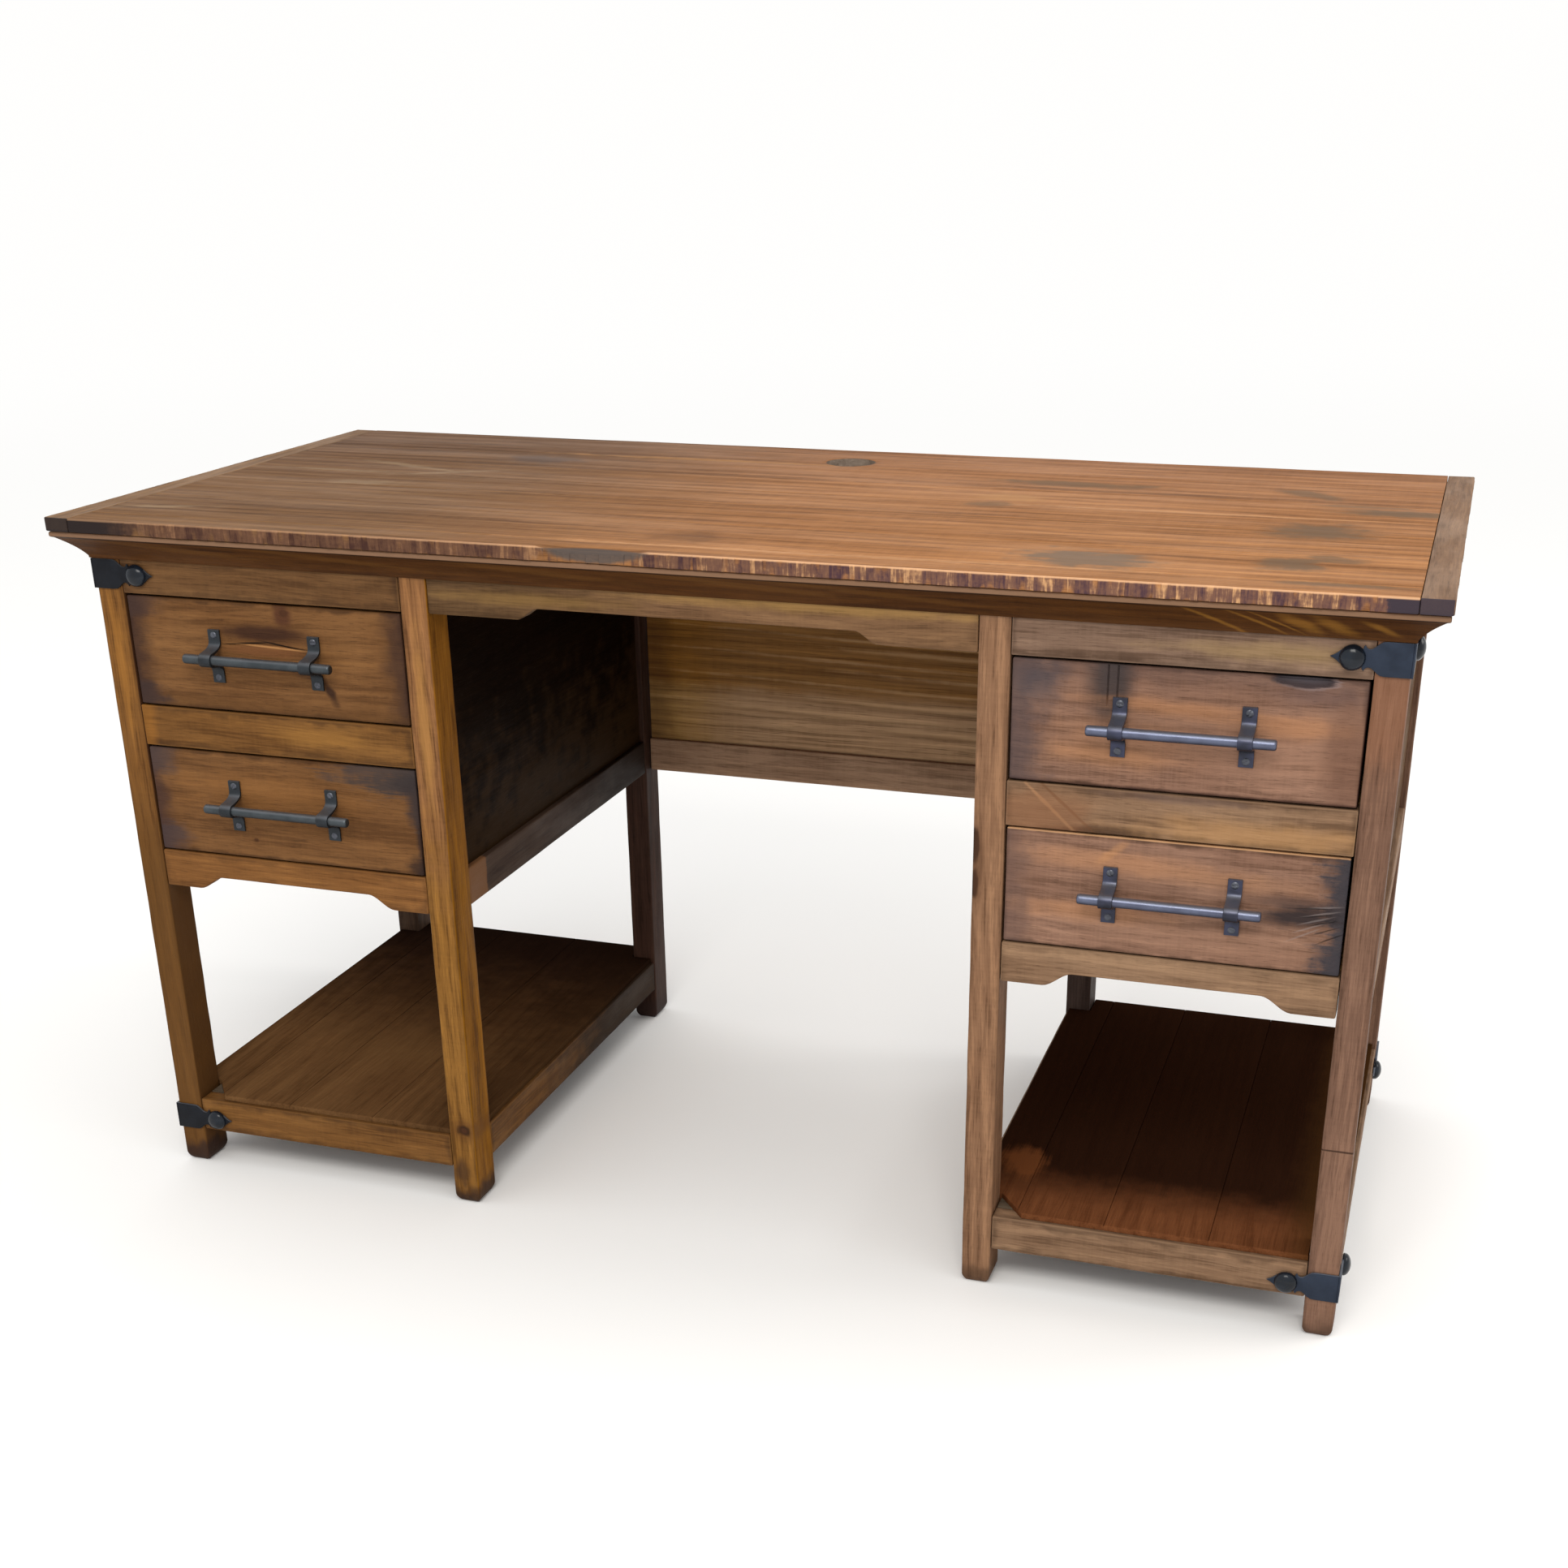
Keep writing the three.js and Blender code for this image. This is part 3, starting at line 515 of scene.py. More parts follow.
def plate(outline, low, high, radius=0.5, steps=3):
    """A flat piece between two heights, with its outline in X and Y, counter-clockwise, and
    its upper edge rounded. All in metres but the radius."""
    outline = np.array(outline, float)
    ahead = np.roll(outline, -1, 0) - outline
    ahead /= np.linalg.norm(ahead, axis=1)[:, None]
    behind = np.roll(ahead, 1, 0)
    outs = [np.stack((way[:, 1], -way[:, 0]), 1) for way in (behind, ahead)]
    mitre = (outs[0] + outs[1]) / np.maximum(0.4, 1 + (outs[0] * outs[1]).sum(1))[:, None]
    radius = radius * MM
    rings = [(low, 0.0), (high - radius, 0.0)]
    for i in range(1, steps + 1):
        angle = math.pi / 2 * i / steps
        rings.append((high - radius + radius * math.sin(angle), radius * (1 - math.cos(angle))))
    return sweep([np.column_stack((outline - mitre * inset, np.full(len(outline), z))) for z, inset in rings])


def circle(count):
    """The cosines and the sines of a ring of points."""
    angles = np.arange(count) * 2 * math.pi / count
    return np.cos(angles), np.sin(angles)


def moved(part, matrix):
    points, faces = part
    matrix = np.array(matrix)
    points = points @ matrix[:3, :3].T + matrix[:3, 3]
    if np.linalg.det(matrix[:3, :3]) < 0:
        faces = [list(reversed(face)) for face in faces]
    return points, faces


def piece(name, parts, body, nodes=()):
    """One object of several closed parts, each given as ((points, faces), material)."""
    points, faces, indices, materials = [], [], [], []
    start = 0
    for (part_points, part_faces), material in parts:
        if material not in materials:
            materials.append(material)
        points.append(part_points)
        faces += [[start + i for i in face] for face in part_faces]
        indices += [materials.index(material)] * len(part_faces)
        start += len(part_points)
    mesh = bpy.data.meshes.new(name)
    mesh.from_pydata(np.concatenate(points).tolist(), [], faces)
    for material in materials:
        mesh.materials.append(material)
    mesh.polygons.foreach_set("material_index", indices)
    mesh.polygons.foreach_set("use_smooth", [True] * len(faces))
    mesh.set_sharp_from_angle(angle=math.radians(38))
    mesh.update()
    made = linked(name, mesh)
    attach(made, body)
    if nodes:
        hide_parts(*nodes)
    return made


# ------------------------------------------------------------------ colours
# the stain on each kind of board, left and right pedestal, and on boards that differ; the dark tones of the
# rear posts are painted shade
STAIN = {
    "post": {"left": "6a4622", "right": "6c5040"},
    "rail": {"left": "704c26", "right": "81654e"},
    "drawer": {"left": "6e4b2b", "right": "826251"},
    "shelf": {"left": "60442a", "right": "643c24"},
}
OWN_STAIN_AND_SHADE = {
    "post_left_outer_front": "704a22", "post_left_inner_front": "805836",
    "post_right_inner_front": "7e5d45", "post_right_outer_front": "6c5041",
    # the rear posts are darker as painted shade, for the shade they stand in at the back of the desk
    "post_left_inner_rear": "36231b", "post_right_inner_rear": "3e312c", "post_left_outer_rear": "48362a",
    "kneehole_apron": "70533a", "top_rail_left": "64462a", "top_rail_right": "786050",
    "bottom_rail_left": "78502a",
}
TOP = "9e6d44"
PANEL = "54391e"
INSIDE = "a57a48"
CROWN = "47290e"
CHAR = {"left": "2a2322", "right": "3b333a"}  # the dark blocks at the ends of the top


# ------------------------------------------------------------------ top
CORNER = 0.005  # radius of the front corners of the top
EDGE_MIDDLE, EDGE_HALF = (TOP_Z + TOP_UNDER) / 2, (TOP_Z - TOP_UNDER) / 2


def chisel_lines(low, high, seed):
    """Where one chisel cut ends and the next begins along an edge."""
    rng = np.random.default_rng(seed)
    lines, at = [], low
    while at < high:
        lines.append(at)
        at += rng.uniform(3.6, 8.6) * MM
    return np.array(lines + [high])


def chisel_ticks(lines):
    edge = 0.35 * MM
    found = []
    for a, b in zip(lines[:-1], lines[1:]):
        found += [a + edge, a + (b - a) * 0.35, a + (b - a) * 0.65, b - edge]
    return found


def chiselled(axis, out, face, lines, seed, depth, keep):
    """A shape for board(): upright chisel cuts along the face that looks towards out on
    the other axis. keep(place) is how much of the cuts is left there, from 0 to 1."""
    rng = np.random.default_rng(seed)
    count = len(lines)
    deep = rng.uniform(0.15, 1.0, count) * depth * MM
    tilt = rng.uniform(-0.5, 0.5, count) * depth * MM
    turn = rng.uniform(-0.35, 0.35, count) * depth * MM
    other = 1 - axis

    def shape(points, normals):
        place = points[:, axis]
        index = np.clip(np.searchsorted(lines, place) - 1, 0, count - 2)
        start, end = lines[index], lines[index + 1]
        within = np.clip((place - start) / np.maximum(end - start, 1e-6), 0, 1)
        height = (points[:, 2] - EDGE_MIDDLE) / EDGE_HALF
        cut_depth = deep[index] + tilt[index] * height + turn[index] * (2 * within - 1)
        cut_depth += 0.45 * MM * np.sin(math.pi * within)
        cut_depth = np.clip(cut_depth, 0, None) * keep(place)
        reach = np.clip(1 - np.abs(points[:, other] - face) / (3.0 * MM), 0, 1)
        points[:, other] -= out * cut_depth * reach
        return points

    return shape


def rounded_corner(cuts, face, side, front):
    """A shape that makes the chisel cuts and then rounds the front corner of an end board."""

    def shape(points, normals):
        points = cuts(points, normals)
        aside = side * (points[:, 0] - face) + CORNER
        ahead = front + CORNER - points[:, 1]
        inside = (aside > 0) & (ahead > 0)
        reach = np.hypot(aside, ahead)
        share = np.where(inside, np.maximum(aside, ahead) / np.maximum(reach, 1e-9), 1.0)
        points[:, 0] += side * aside * (share - 1)
        points[:, 1] -= ahead * (share - 1)
        return points

    return shape


def add_top(materials):
    """The planks with the cable hole, the chiselled front strip and the two end boards."""
    low, high = box_of("top_field")
    seams = (-0.168, -0.056, 0.023, 0.107, 0.211)
    lines = [low[1], *seams, high[1]]
    gap = 0.15 * MM
    hole_back, hole_radius = 0.088, 0.029
    parts = []
    for i, (a, b) in enumerate(zip(lines[:-1], lines[1:])):
        plank_low = (low[0], a + (gap if i else 0), low[2])
        plank_high = (high[0], b - (gap if i < len(lines) - 2 else 0), high[2])
        part = board(plank_low, plank_high, 0.8, 14.0, 0.35, seed=20 + i, length=0.11)
        parts.append((part, materials["top"]))
    field = piece("top_planks", parts, BODY, ["top_field"])
    drill(field, (0.0, high[1] - hole_back, EDGE_MIDDLE), hole_radius, materials["hole"])

    low, high = box_of("top_front_strip")
    lines = chisel_lines(low[0], high[0], 5)

    def between_blocks(x):
        left_end, right_end = -0.632, 0.652
        return np.clip((x - left_end) / 0.02, 0, 1) * np.clip((right_end - x) / 0.01, 0, 1)

    cuts = chiselled(0, -1, low[1], lines, 6, 1.3, between_blocks)
    hollow_x, hollow_half, hollow_back, hollow_floor = -0.089, 0.058, 0.013, 0.752

    def worn(points, normals):
        """Chisel cuts, and one shallow hollow in the upper arris."""
        points = cuts(points, normals)
        hollow = np.clip(1 - ((points[:, 0] - hollow_x) / hollow_half) ** 2, 0, 1) ** 0.8
        back = np.clip(1 - (points[:, 1] - low[1]) / hollow_back, 0, 1)
        upper = np.clip((points[:, 2] - hollow_floor) / 0.010, 0, 1)
        points[:, 2] -= 0.0050 * hollow * back * upper
        points[:, 1] += 0.0022 * hollow * back
        return points

    levels = (0.7505, 0.753, 0.7555, 0.758)
    extra = (chisel_ticks(lines), (), levels)
    part = board(low, high, 1.5, 9.0, 0.2, seed=31, extra=extra, shape=worn)
    strip = piece("top_front_strip_wood", [(part, materials["strip"])], BODY, ["top_front_strip"])
    tint = np.random.default_rng(8).uniform(0, 1, len(lines))
    index = np.clip(np.searchsorted(lines, part[0][:, 0]) - 1, 0, len(lines) - 1)
    tints = strip.data.attributes.new("cut_tint", "FLOAT", "POINT")
    tints.data.foreach_set("value", tint[index].astype(np.float32))

    def behind_corner(y):
        return np.clip((y + 0.30) / 0.03, 0, 1)

    for hand, side in HANDS.items():
        node = f"top_end_{hand}"
        low, high = box_of(node)
        lines = chisel_lines(low[1] + 0.03, high[1], 11 + side)
        face = high[0] if side > 0 else low[0]
        cuts = chiselled(1, side, face, lines, 14 + side, 0.7, behind_corner)
        steps = [CORNER * f for f in (0.25, 0.5, 0.75, 1.0)]
        along = [*chisel_ticks(lines), *[low[1] + step for step in steps]]
        extra = ([face - side * step for step in steps], along, ())
        shape = rounded_corner(cuts, face, side, low[1])
        part = board(low, high, 1.1, 12.0, 0.3, seed=40 + side, extra=extra, shape=shape)
        piece(node + "_wood", [(part, materials["end_" + hand])], BODY, [node])


def drill(target, centre, radius, material):
    """Cuts a round hole down through a piece and colours its wall."""
    mesh = bpy.data.meshes.new("drill")
    form = bmesh.new()
    bmesh.ops.create_cone(form, cap_ends=True, segments=64, radius1=radius, radius2=radius, depth=0.05)
    bmesh.ops.translate(form, verts=form.verts, vec=centre)
    form.to_mesh(mesh)
    form.free()
    mesh.materials.append(material)
    cutter = linked("drill", mesh)
    modifier = target.modifiers.new("hole", "BOOLEAN")
    modifier.operation = "DIFFERENCE"
    modifier.solver = "EXACT"
    modifier.object = cutter
    modifier.material_mode = "TRANSFER"
    bpy.context.view_layer.update()
    baked = bpy.data.meshes.new_from_object(target.evaluated_get(bpy.context.evaluated_depsgraph_get()))
    target.modifiers.clear()
    target.data = baked
    bpy.data.objects.remove(cutter)


# ------------------------------------------------------------------ crown moulding
def bezier(corners, count):
    """The points of a smooth curve after its first one, from two or more corners."""
    last = len(corners) - 1
    points = []
    for i in range(1, count + 1):
        t = i / count
        shares = [math.comb(last, k) * t**k * (1 - t) ** (last - k) for k in range(last + 1)]
        points.append(tuple(sum(s * p[axis] for s, p in zip(shares, corners)) for axis in (0, 1)))
    return points


def crown_profile():
    """Closed section, out from the frame and up from its foot, clockwise seen along the run."""
    reach, height, fillet, foot = 0.0286, 0.0309, 0.0062, 0.003
    base = height - fillet
    points = [(0.0004, 0.0), (foot - 0.0006, 0.0), (foot, 0.0006), (foot, 0.0022)]
    points += bezier(((foot, 0.0022), (foot * 3.0, base * 0.5), (reach - 0.0034, base - 0.0006)), 12)
    points += [(reach - 0.0012, base + 0.0002), (reach - 0.0003, base + 0.0008), (reach, base + 0.0018)]
    points += [(reach, height - 0.0022), (reach - 0.0006, height - 0.0009), (reach - 0.0020, height - 0.0002)]
    points += [(reach - 0.0034, height), (0.0004, height)]
    return points


def add_crown(materials):
    """Four runs of moulding, mitred at the corners, each a quarter turn from the last."""
    profile = crown_profile()
    foot = box_of("crown_front")[0][2]
    step, mitre_gap, wobble = 0.014, 0.0004, 0.00035
    for turn, name in enumerate(("front", "right", "back", "left")):
        half, out = (FRAME_X, FRAME_Y) if turn % 2 == 0 else (FRAME_Y, FRAME_X)
        count = round(2 * half / step)
        loops = []
        for i in range(count + 1):
            t = 2 * i / count - 1
            loop = [(t * (half + away - mitre_gap), -out - away, foot + up) for away, up in profile]
            loops.append(np.array(loop))
        for loop in loops[1:-1]:
            bulge = waves(loop * (1.0, 3.0, 3.0), 60 + turn, 0.09)
            loop[:, 1] += wobble * (1 + bulge) * (loop[:, 1] < -out - 0.001)
        points, faces = sweep(loops)
        part = moved((points, [face[::-1] for face in faces]), Matrix.Rotation(turn * math.pi / 2, 4, "Z"))
        material = materials["crown_" + "xy"[turn % 2]]
        piece(f"crown_{name}_wood", [(part, material)], BODY, [f"crown_{name}"])


# ------------------------------------------------------------------ posts and rails
def footed(low, high):
    """A shape that rounds a post in towards the floor."""
    centre = (low + high)[:2] / 2
    foot_tall, foot_in = 0.010, 0.0046

    def shape(points, normals):
        rise = np.clip(points[:, 2] / foot_tall, 0, 1)
        shrink = foot_in * (1 - rise) ** 1.8
        points[:, :2] -= np.sign(points[:, :2] - centre) * shrink[:, None]
        return points

    return shape


def scallop(low, high, flat, rise):
    """A shape that raises the middle of a board's lower edge, with an ogee at each side,
    and the grid lines that it needs there."""
    half, middle = (high[0] - low[0]) / 2, (high[0] + low[0]) / 2
    start = half - flat * MM
    ogee = 2 * rise * MM

    def shape(points, normals):
        t = np.clip((start - np.abs(points[:, 0] - middle)) / ogee, 0, 1)
        lift = rise * MM * (t * t * (3 - 2 * t))
        share = (high[2] - points[:, 2]) / (high[2] - low[2])
        points[:, 2] += lift * share
        return points

    steps = (0, 0.12, 0.25, 0.37, 0.5, 0.63, 0.75, 0.88, 1)
    return shape, [side * (start - ogee * f) + middle for side in (-1, 1) for f in steps]


def add_plain_board(node, material, radius, wobble, seed, step=16.0, shape=None, extra=((), (), ())):
    part = board(*box_of(node), radius, step, wobble, seed, extra, shape=shape)
    piece(node + "_wood", [(part, material)], BODY, [node])


FEET = {"left": band("z", 12, 34, "2c1e1a", 0.85), "right": band("z", 4, 26, "38281e", 0.6)}
GOLDEN = "845217"
POST_MARKS = {
    "post_left_outer_front": [
        # the first band darkens the +X face: painted shade on the side that stands under the drawers
        band("x", -642.6, -643.6, "3c2419", 0.9, 0.1), band("z", 360, 520, "553818", 0.7, 0.2),
        spot(-658, 600, 6, 60, "a06c2e", 0.4, 0.6),
    ],
    "post_left_inner_front": [
        toning("x", -285.4, -286.4, "805836", GOLDEN, 1.0, 0.1),
        toning("z", 330, 500, "805836", "805824", 0.9, 0.2), *knot(-298, 93, 11, 10),
        spot(-304, 40, 9, 16, "33221a", 0.7, 0.5), spot(-300, 560, 7, 80, "a87a3c", 0.35, 0.6),
    ],
    "post_right_inner_front": [
        spot(286, 493, 5, 16, "20130d", 0.95, 0.3), spot(286, 452, 5, 14, "20130d", 0.95, 0.3),
        spot(290, 470, 5, 40, "4a3020", 0.6, 0.5),
    ],
    "post_right_outer_front": [
        spot(658, 214, 40, 0.9, "2a1a12", 0.8, 0.5, warp=0.1), band("z", 640, 560, "8a5c40", 0.4, 0.3),
    ],
}


def add_posts():
    for hand, side in HANDS.items():
        for where in ("outer", "inner"):
            for end in ("front", "rear"):
                node = f"post_{hand}_{where}_{end}"
                low, high = box_of(node)
                seed = 100 + len(node) * 7 + (side > 0) * 31 + (end == "rear") * 57 + (where == "inner") * 13
                stained = OWN_STAIN_AND_SHADE.get(node, STAIN["post"][hand])
                box = (low - (0, 0, 1), high + (0, 0, 1))  # no wear round the ends
                marks = [*POST_MARKS.get(node, ()), FEET[hand]]
                material = wood(node, stained, "z", seed, box, marks, 0.35, 4, 1.0, 0.3, cloud=0.2)
                extra = ((), (), (0.006, 0.009, 0.013))
                add_plain_board(node, material, 2.0, 0.45, seed, 15.0, footed(low, high), extra)


RAIL_MARKS = {
    "mid_rail_left": [band("x", -634, -620, "946024", 0.4, 0.3), spot(-420, 540, 60, 10, "9a6c30", 0.3, 0.7)],
    "mid_rail_right": [
        spot(404, 516, 46, 7, "2c1a12", 0.75, 0.5, 4), spot(356, 540, 34, 1.6, "b88a62", 0.5, 0.6, -42, 0.2),
        spot(368, 545, 40, 1.4, "5a3a24", 0.6, 0.6, -40, 0.2), spot(350, 530, 40, 24, "7a5238", 0.6, 0.7),
        spot(560, 528, 100, 12, "a87c4c", 0.45, 0.7), spot(480, 556, 70, 4, "5c4a44", 0.5, 0.6),
    ],
    "top_rail_left": [spot(-560, 735, 80, 10, "3a2814", 0.5, 0.6)],
    "top_rail_right": [spot(560, 700, 90, 8, "a08458", 0.4, 0.7)],
    "kneehole_apron": [
        toning("x", -210, 20, "70533a", "5c442c", 1.0), spot(-60, 726, 200, 6, "4c3a3a", 0.5, 0.7),
        spot(120, 715, 150, 7, "a07c44", 0.5, 0.7), spot(-160, 702, 90, 6, "8a6a3a", 0.4, 0.7),
    ],
}


def rail_material(node, hand, grain, seed, marks=(), **more):
    stained = OWN_STAIN_AND_SHADE.get(node, STAIN["rail"][hand])
    return wood(node, stained, grain, seed, box_of(node), [*RAIL_MARKS.get(node, ()), *marks], **more)


def add_scalloped_rail(node, hand, flat, rise, seed, radius):
    shape, near = scallop(*box_of(node), flat, rise)
    material = rail_material(node, hand, "x", seed, grime=0.3)
    add_plain_board(node, material, radius, 0.3, seed + 1, 12.0, shape, (near, (), ()))


def add_rails():
    for hand, side in HANDS.items():
        right = side > 0
        for i, kind in enumerate(("top_rail", "mid_rail")):
            node = f"{kind}_{hand}"
            material = rail_material(node, hand, "x", 200 + i + 10 * right)
            add_plain_board(node, material, 1.2, 0.3, 210 + i + 10 * right)
        add_scalloped_rail(f"bottom_rail_{hand}", hand, 42, 15, 230 + right, 2.2)
        for i, where in enumerate(("front", "outer", "inner", "rear")):
            node = f"shelf_rail_{hand}_{where}"
            grain = "x" if where in ("front", "rear") else "y"
            # painted shade: the left shelf's rails and the rear rails darken towards the back
            marks = [band("y", 120, -190, "1e150e", 0.9, 0.2)] if side < 0 or where == "rear" else []
            material = rail_material(node, hand, grain, 240 + i + 10 * right, marks)
            add_plain_board(node, material, 2.0, 0.35, 250 + i + 10 * right)
    add_scalloped_rail("kneehole_apron", "left", 97, 12, 270, 2.0)


# ------------------------------------------------------------------ framed panels
LOWER_RAIL, UPPER_RAIL = 0.0425, box_of("top_rail_right")[0][2]  # height of one, foot of the other


def add_framed_panel(node, axis, out, seed, panel, rail, seams=()):
    """Two rails with a thinner panel let in between. The boards run along the axis, and
    the face looks towards out on the other axis."""
    low, high = box_of(node)
    other = 1 - axis
    face = high[other] if out > 0 else low[other]
    bottom, top = low[2], high[2]
    lower, upper = bottom + LOWER_RAIL, UPPER_RAIL
    rebate, slit, panel_front, panel_back = 0.004, 0.0001, 0.006, 0.016
    parts = []

    def layer(z0, z1, front, back, radius, number, material):
        a, b = sorted((face - out * front, face - out * back))
        box_low, box_high = low.copy(), high.copy()
        box_low[other], box_high[other] = a, b
        box_low[2], box_high[2] = z0, z1
        parts.append((board(box_low, box_high, radius, 16.0, 0.3, seed + number), material))

    deep = high[other] - low[other]
    layer(bottom, lower, 0.0, deep, 1.8, 1, rail)
    layer(upper, top, 0.0, deep, 1.8, 2, rail)
    edges = [lower - rebate, *seams, upper + rebate]
    for i, (a, b) in enumerate(zip(edges[:-1], edges[1:])):
        layer(a + slit, b - slit, panel_front, panel_back, 0.9, 3 + i, panel)
    return piece(node + "_boards", parts, BODY, [node])


def add_panels():
    # painted shade: the rails of the inner panels darken towards the back, from a paler front end
    rail_shade_marks = [band("y", -214, -210, "7a5436", 0.8, 0.05), band("y", 200, -60, "1c1410", 0.8, 0.2)]
    for hand, side in HANDS.items():
        right = side > 0
        stained = STAIN["rail"][hand]
        for where, facing in (("outer", 1), ("inner", -1)):
            node, inner = f"side_panel_{hand}_{where}", where == "inner"
            seed = 300 + 20 * right + inner * 7
            # on the inner side panels the very dark tones of panel and rails are painted shade, and the band
            # that lightens the panel's lower part is painted light
            marks = [band("z", 400, 560, "3a2816", 0.5, 0.6)] if inner else []
            tone, rail_tone = ("140a04", "44352c") if inner else (PANEL, stained)
            panel = wood(node, tone, "y", seed, box_of(node), marks, 0.4, 20, sheen=0.02)
            rail = wood("rail_" + node, rail_tone, "y", seed + 1, None, rail_shade_marks if inner else [])
            add_framed_panel(node, 1, side * facing, seed, panel, rail)
        node = f"back_panel_{hand}"
        panel = wood(node, PANEL, "x", 340 + right, box_of(node), (), 0.4, 20)
        rail = wood("rail_" + node, stained, "x", 345 + right)
        add_framed_panel(node, 0, 1, 350 + 5 * right, panel, rail, (0.50,))
    figure = (
        (90, 553, 160, 2.4), (40, 540, 190, 1.8), (110, 527, 140, 2.8), (-20, 513, 170, 2.0),
        (120, 497, 150, 2.6), (10, 481, 200, 2.2), (60, 462, 210, 3.0), (-60, 446, 150, 2.4),
        (130, 430, 120, 2.6),
    )
    marks = [
        # painted shadow: the first toning darkens the upper part of the panel, above its lit lower part
        toning("z", 482, 455, "a88665", "875f33", 1.0, 0.1, 0.03),
        toning("x", -270, -140, "a88665", "a67e48", 1.0, 0.1, 0.03),
        band("x", -274, -235, "40281a", 0.5, 0.2, 0.1),
        *[spot(x, z, wide, tall, "c4a078", 0.4, 0.7, -1.5, rag=0.8) for x, z, wide, tall in figure],
        *[spot(x - 25, z - 5, wide, tall, "6a4c30", 0.45, 0.7, -1.5, rag=0.8) for x, z, wide, tall in figure],
        spot(-190, 566, 40, 3, "4a2c14", 0.6, 0.6),
    ]
    look = dict(spread=0.9, cloud=0.25, fine=0.9, short=0.4)
    panel = wood("modesty_panel", "a88665", "x", 360, None, marks, **look)
    rail = wood("rail_modesty", "95765e", "x", 361)
    add_framed_panel("modesty_panel", 0, -1, 365, panel, rail)


# ------------------------------------------------------------------ shelves
# painted shade and light on the shelves: darker towards the back and towards the inner side, with paler
# patches of painted light
SHELF_SHADE_AND_LIGHT = {
    "left": [
        toning("y", 240, -160, STAIN["shelf"]["left"], "2b1b13", 1.0, 0.1),
        band("y", 330, 110, "140c08", 0.88, 0.05, 0.05),
        spot(-450, -110, 90, 60, "6c5030", 0.3, 0.8, 10, 0.2, "top", 0.1),
        band("x", -290, -420, "20140c", 0.5, 0.1, 0.05),
    ],
    "right": [
        band("y", -170, -262, "1e100a", 0.94, 0.12, 0.2), band("x", 650, 600, "442c14", 0.6, 0.1, 0.1),
        spot(325, -175, 30, 48, "6a3e22", 0.75, 0.2, 12, 0.2, "top", 0.2),
    ],
}


def shelf_outlines(x, y):
    """The four boards of a shelf, round its middle. The outer two are notched for the posts,
    and the corner at the front left post is clipped."""
    clear = 0.001
    notch_x = (POST_LOW[0] - box_of("post_right_inner_front")[1][0]) / 2 - clear
    notch_y = -POST_HIGH[1] - clear
    seams, cut, slit = (-0.138, -0.046, 0.062), 0.030, 0.0001
    before, after = [seam - slit for seam in seams], [seam + slit for seam in seams]
    return (
        [
            (-x, -notch_y), (-notch_x + 0.0004, -notch_y), (before[0], -y + 0.0075),
            (before[0], y), (-notch_x, y), (-notch_x, notch_y), (-x, notch_y),
        ],
        [(after[0], -y + 0.0066), (-notch_x + cut, -y), (before[1], -y), (before[1], y), (after[0], y)],
        [(after[1], -y), (before[2], -y), (before[2], y), (after[1], y)],
        [
            (after[2], -y), (notch_x, -y), (notch_x, -notch_y), (x, -notch_y),
            (x, notch_y), (notch_x, notch_y), (notch_x, y), (after[2], y),
        ],
    )


def add_shelves(materials):
    """Boards with a lip, on a core that fills the shelf below them, and a ledge at each end."""
    lip_deep = 0.006
    core_in, ledge_in, ledge_y = (0.0158, 0.038), 0.0272, (0.2512, 0.2713)
    for hand, side in HANDS.items():
        node = f"shelf_{hand}"
        low, high = box_of(node)
        top, lip = high[2], high[2] - lip_deep
        middle_x = (low[0] + high[0]) / 2
        parts = []
        for i, outline in enumerate(shelf_outlines(*(high - low)[:2] / 2)):
            shade = np.random.default_rng(400 + i + 10 * side).uniform(0.85, 1.15)
            seed = 410 + i + 10 * (side > 0)
            material = wood(
                f"{node}_{i}", STAIN["shelf"][hand], "y", seed, None, SHELF_SHADE_AND_LIGHT[hand],
                bump=0.3, cloud=0.25 * shade, rough=(0.34, 0.46), sheen=0.0, spread=0.6, fine=0.35,
            )
            around = [(middle_x + a, b) for a, b in outline]
            parts.append((plate(around, lip, top, 1.3, 4), material))
        inset_x, inset_y = core_in
        core_low = (low[0] + inset_x, low[1] + inset_y, low[2])
        core_high = (high[0] - inset_x, high[1] - inset_y, lip - 0.0001)
        parts.append((board(core_low, core_high, 0.8, 40.0, 0.0), parts[1][1]))
        for end in (-1, 1):
            a, b = sorted(end * y for y in ledge_y)
            ledge_low, ledge_high = (low[0] + ledge_in, a, low[2]), (high[0] - ledge_in, b, lip - 0.0002)
            parts.append((board(ledge_low, ledge_high, 0.6, 40.0, 0.0), materials["ledge"]))
        piece(node + "_boards", parts, BODY, [node])


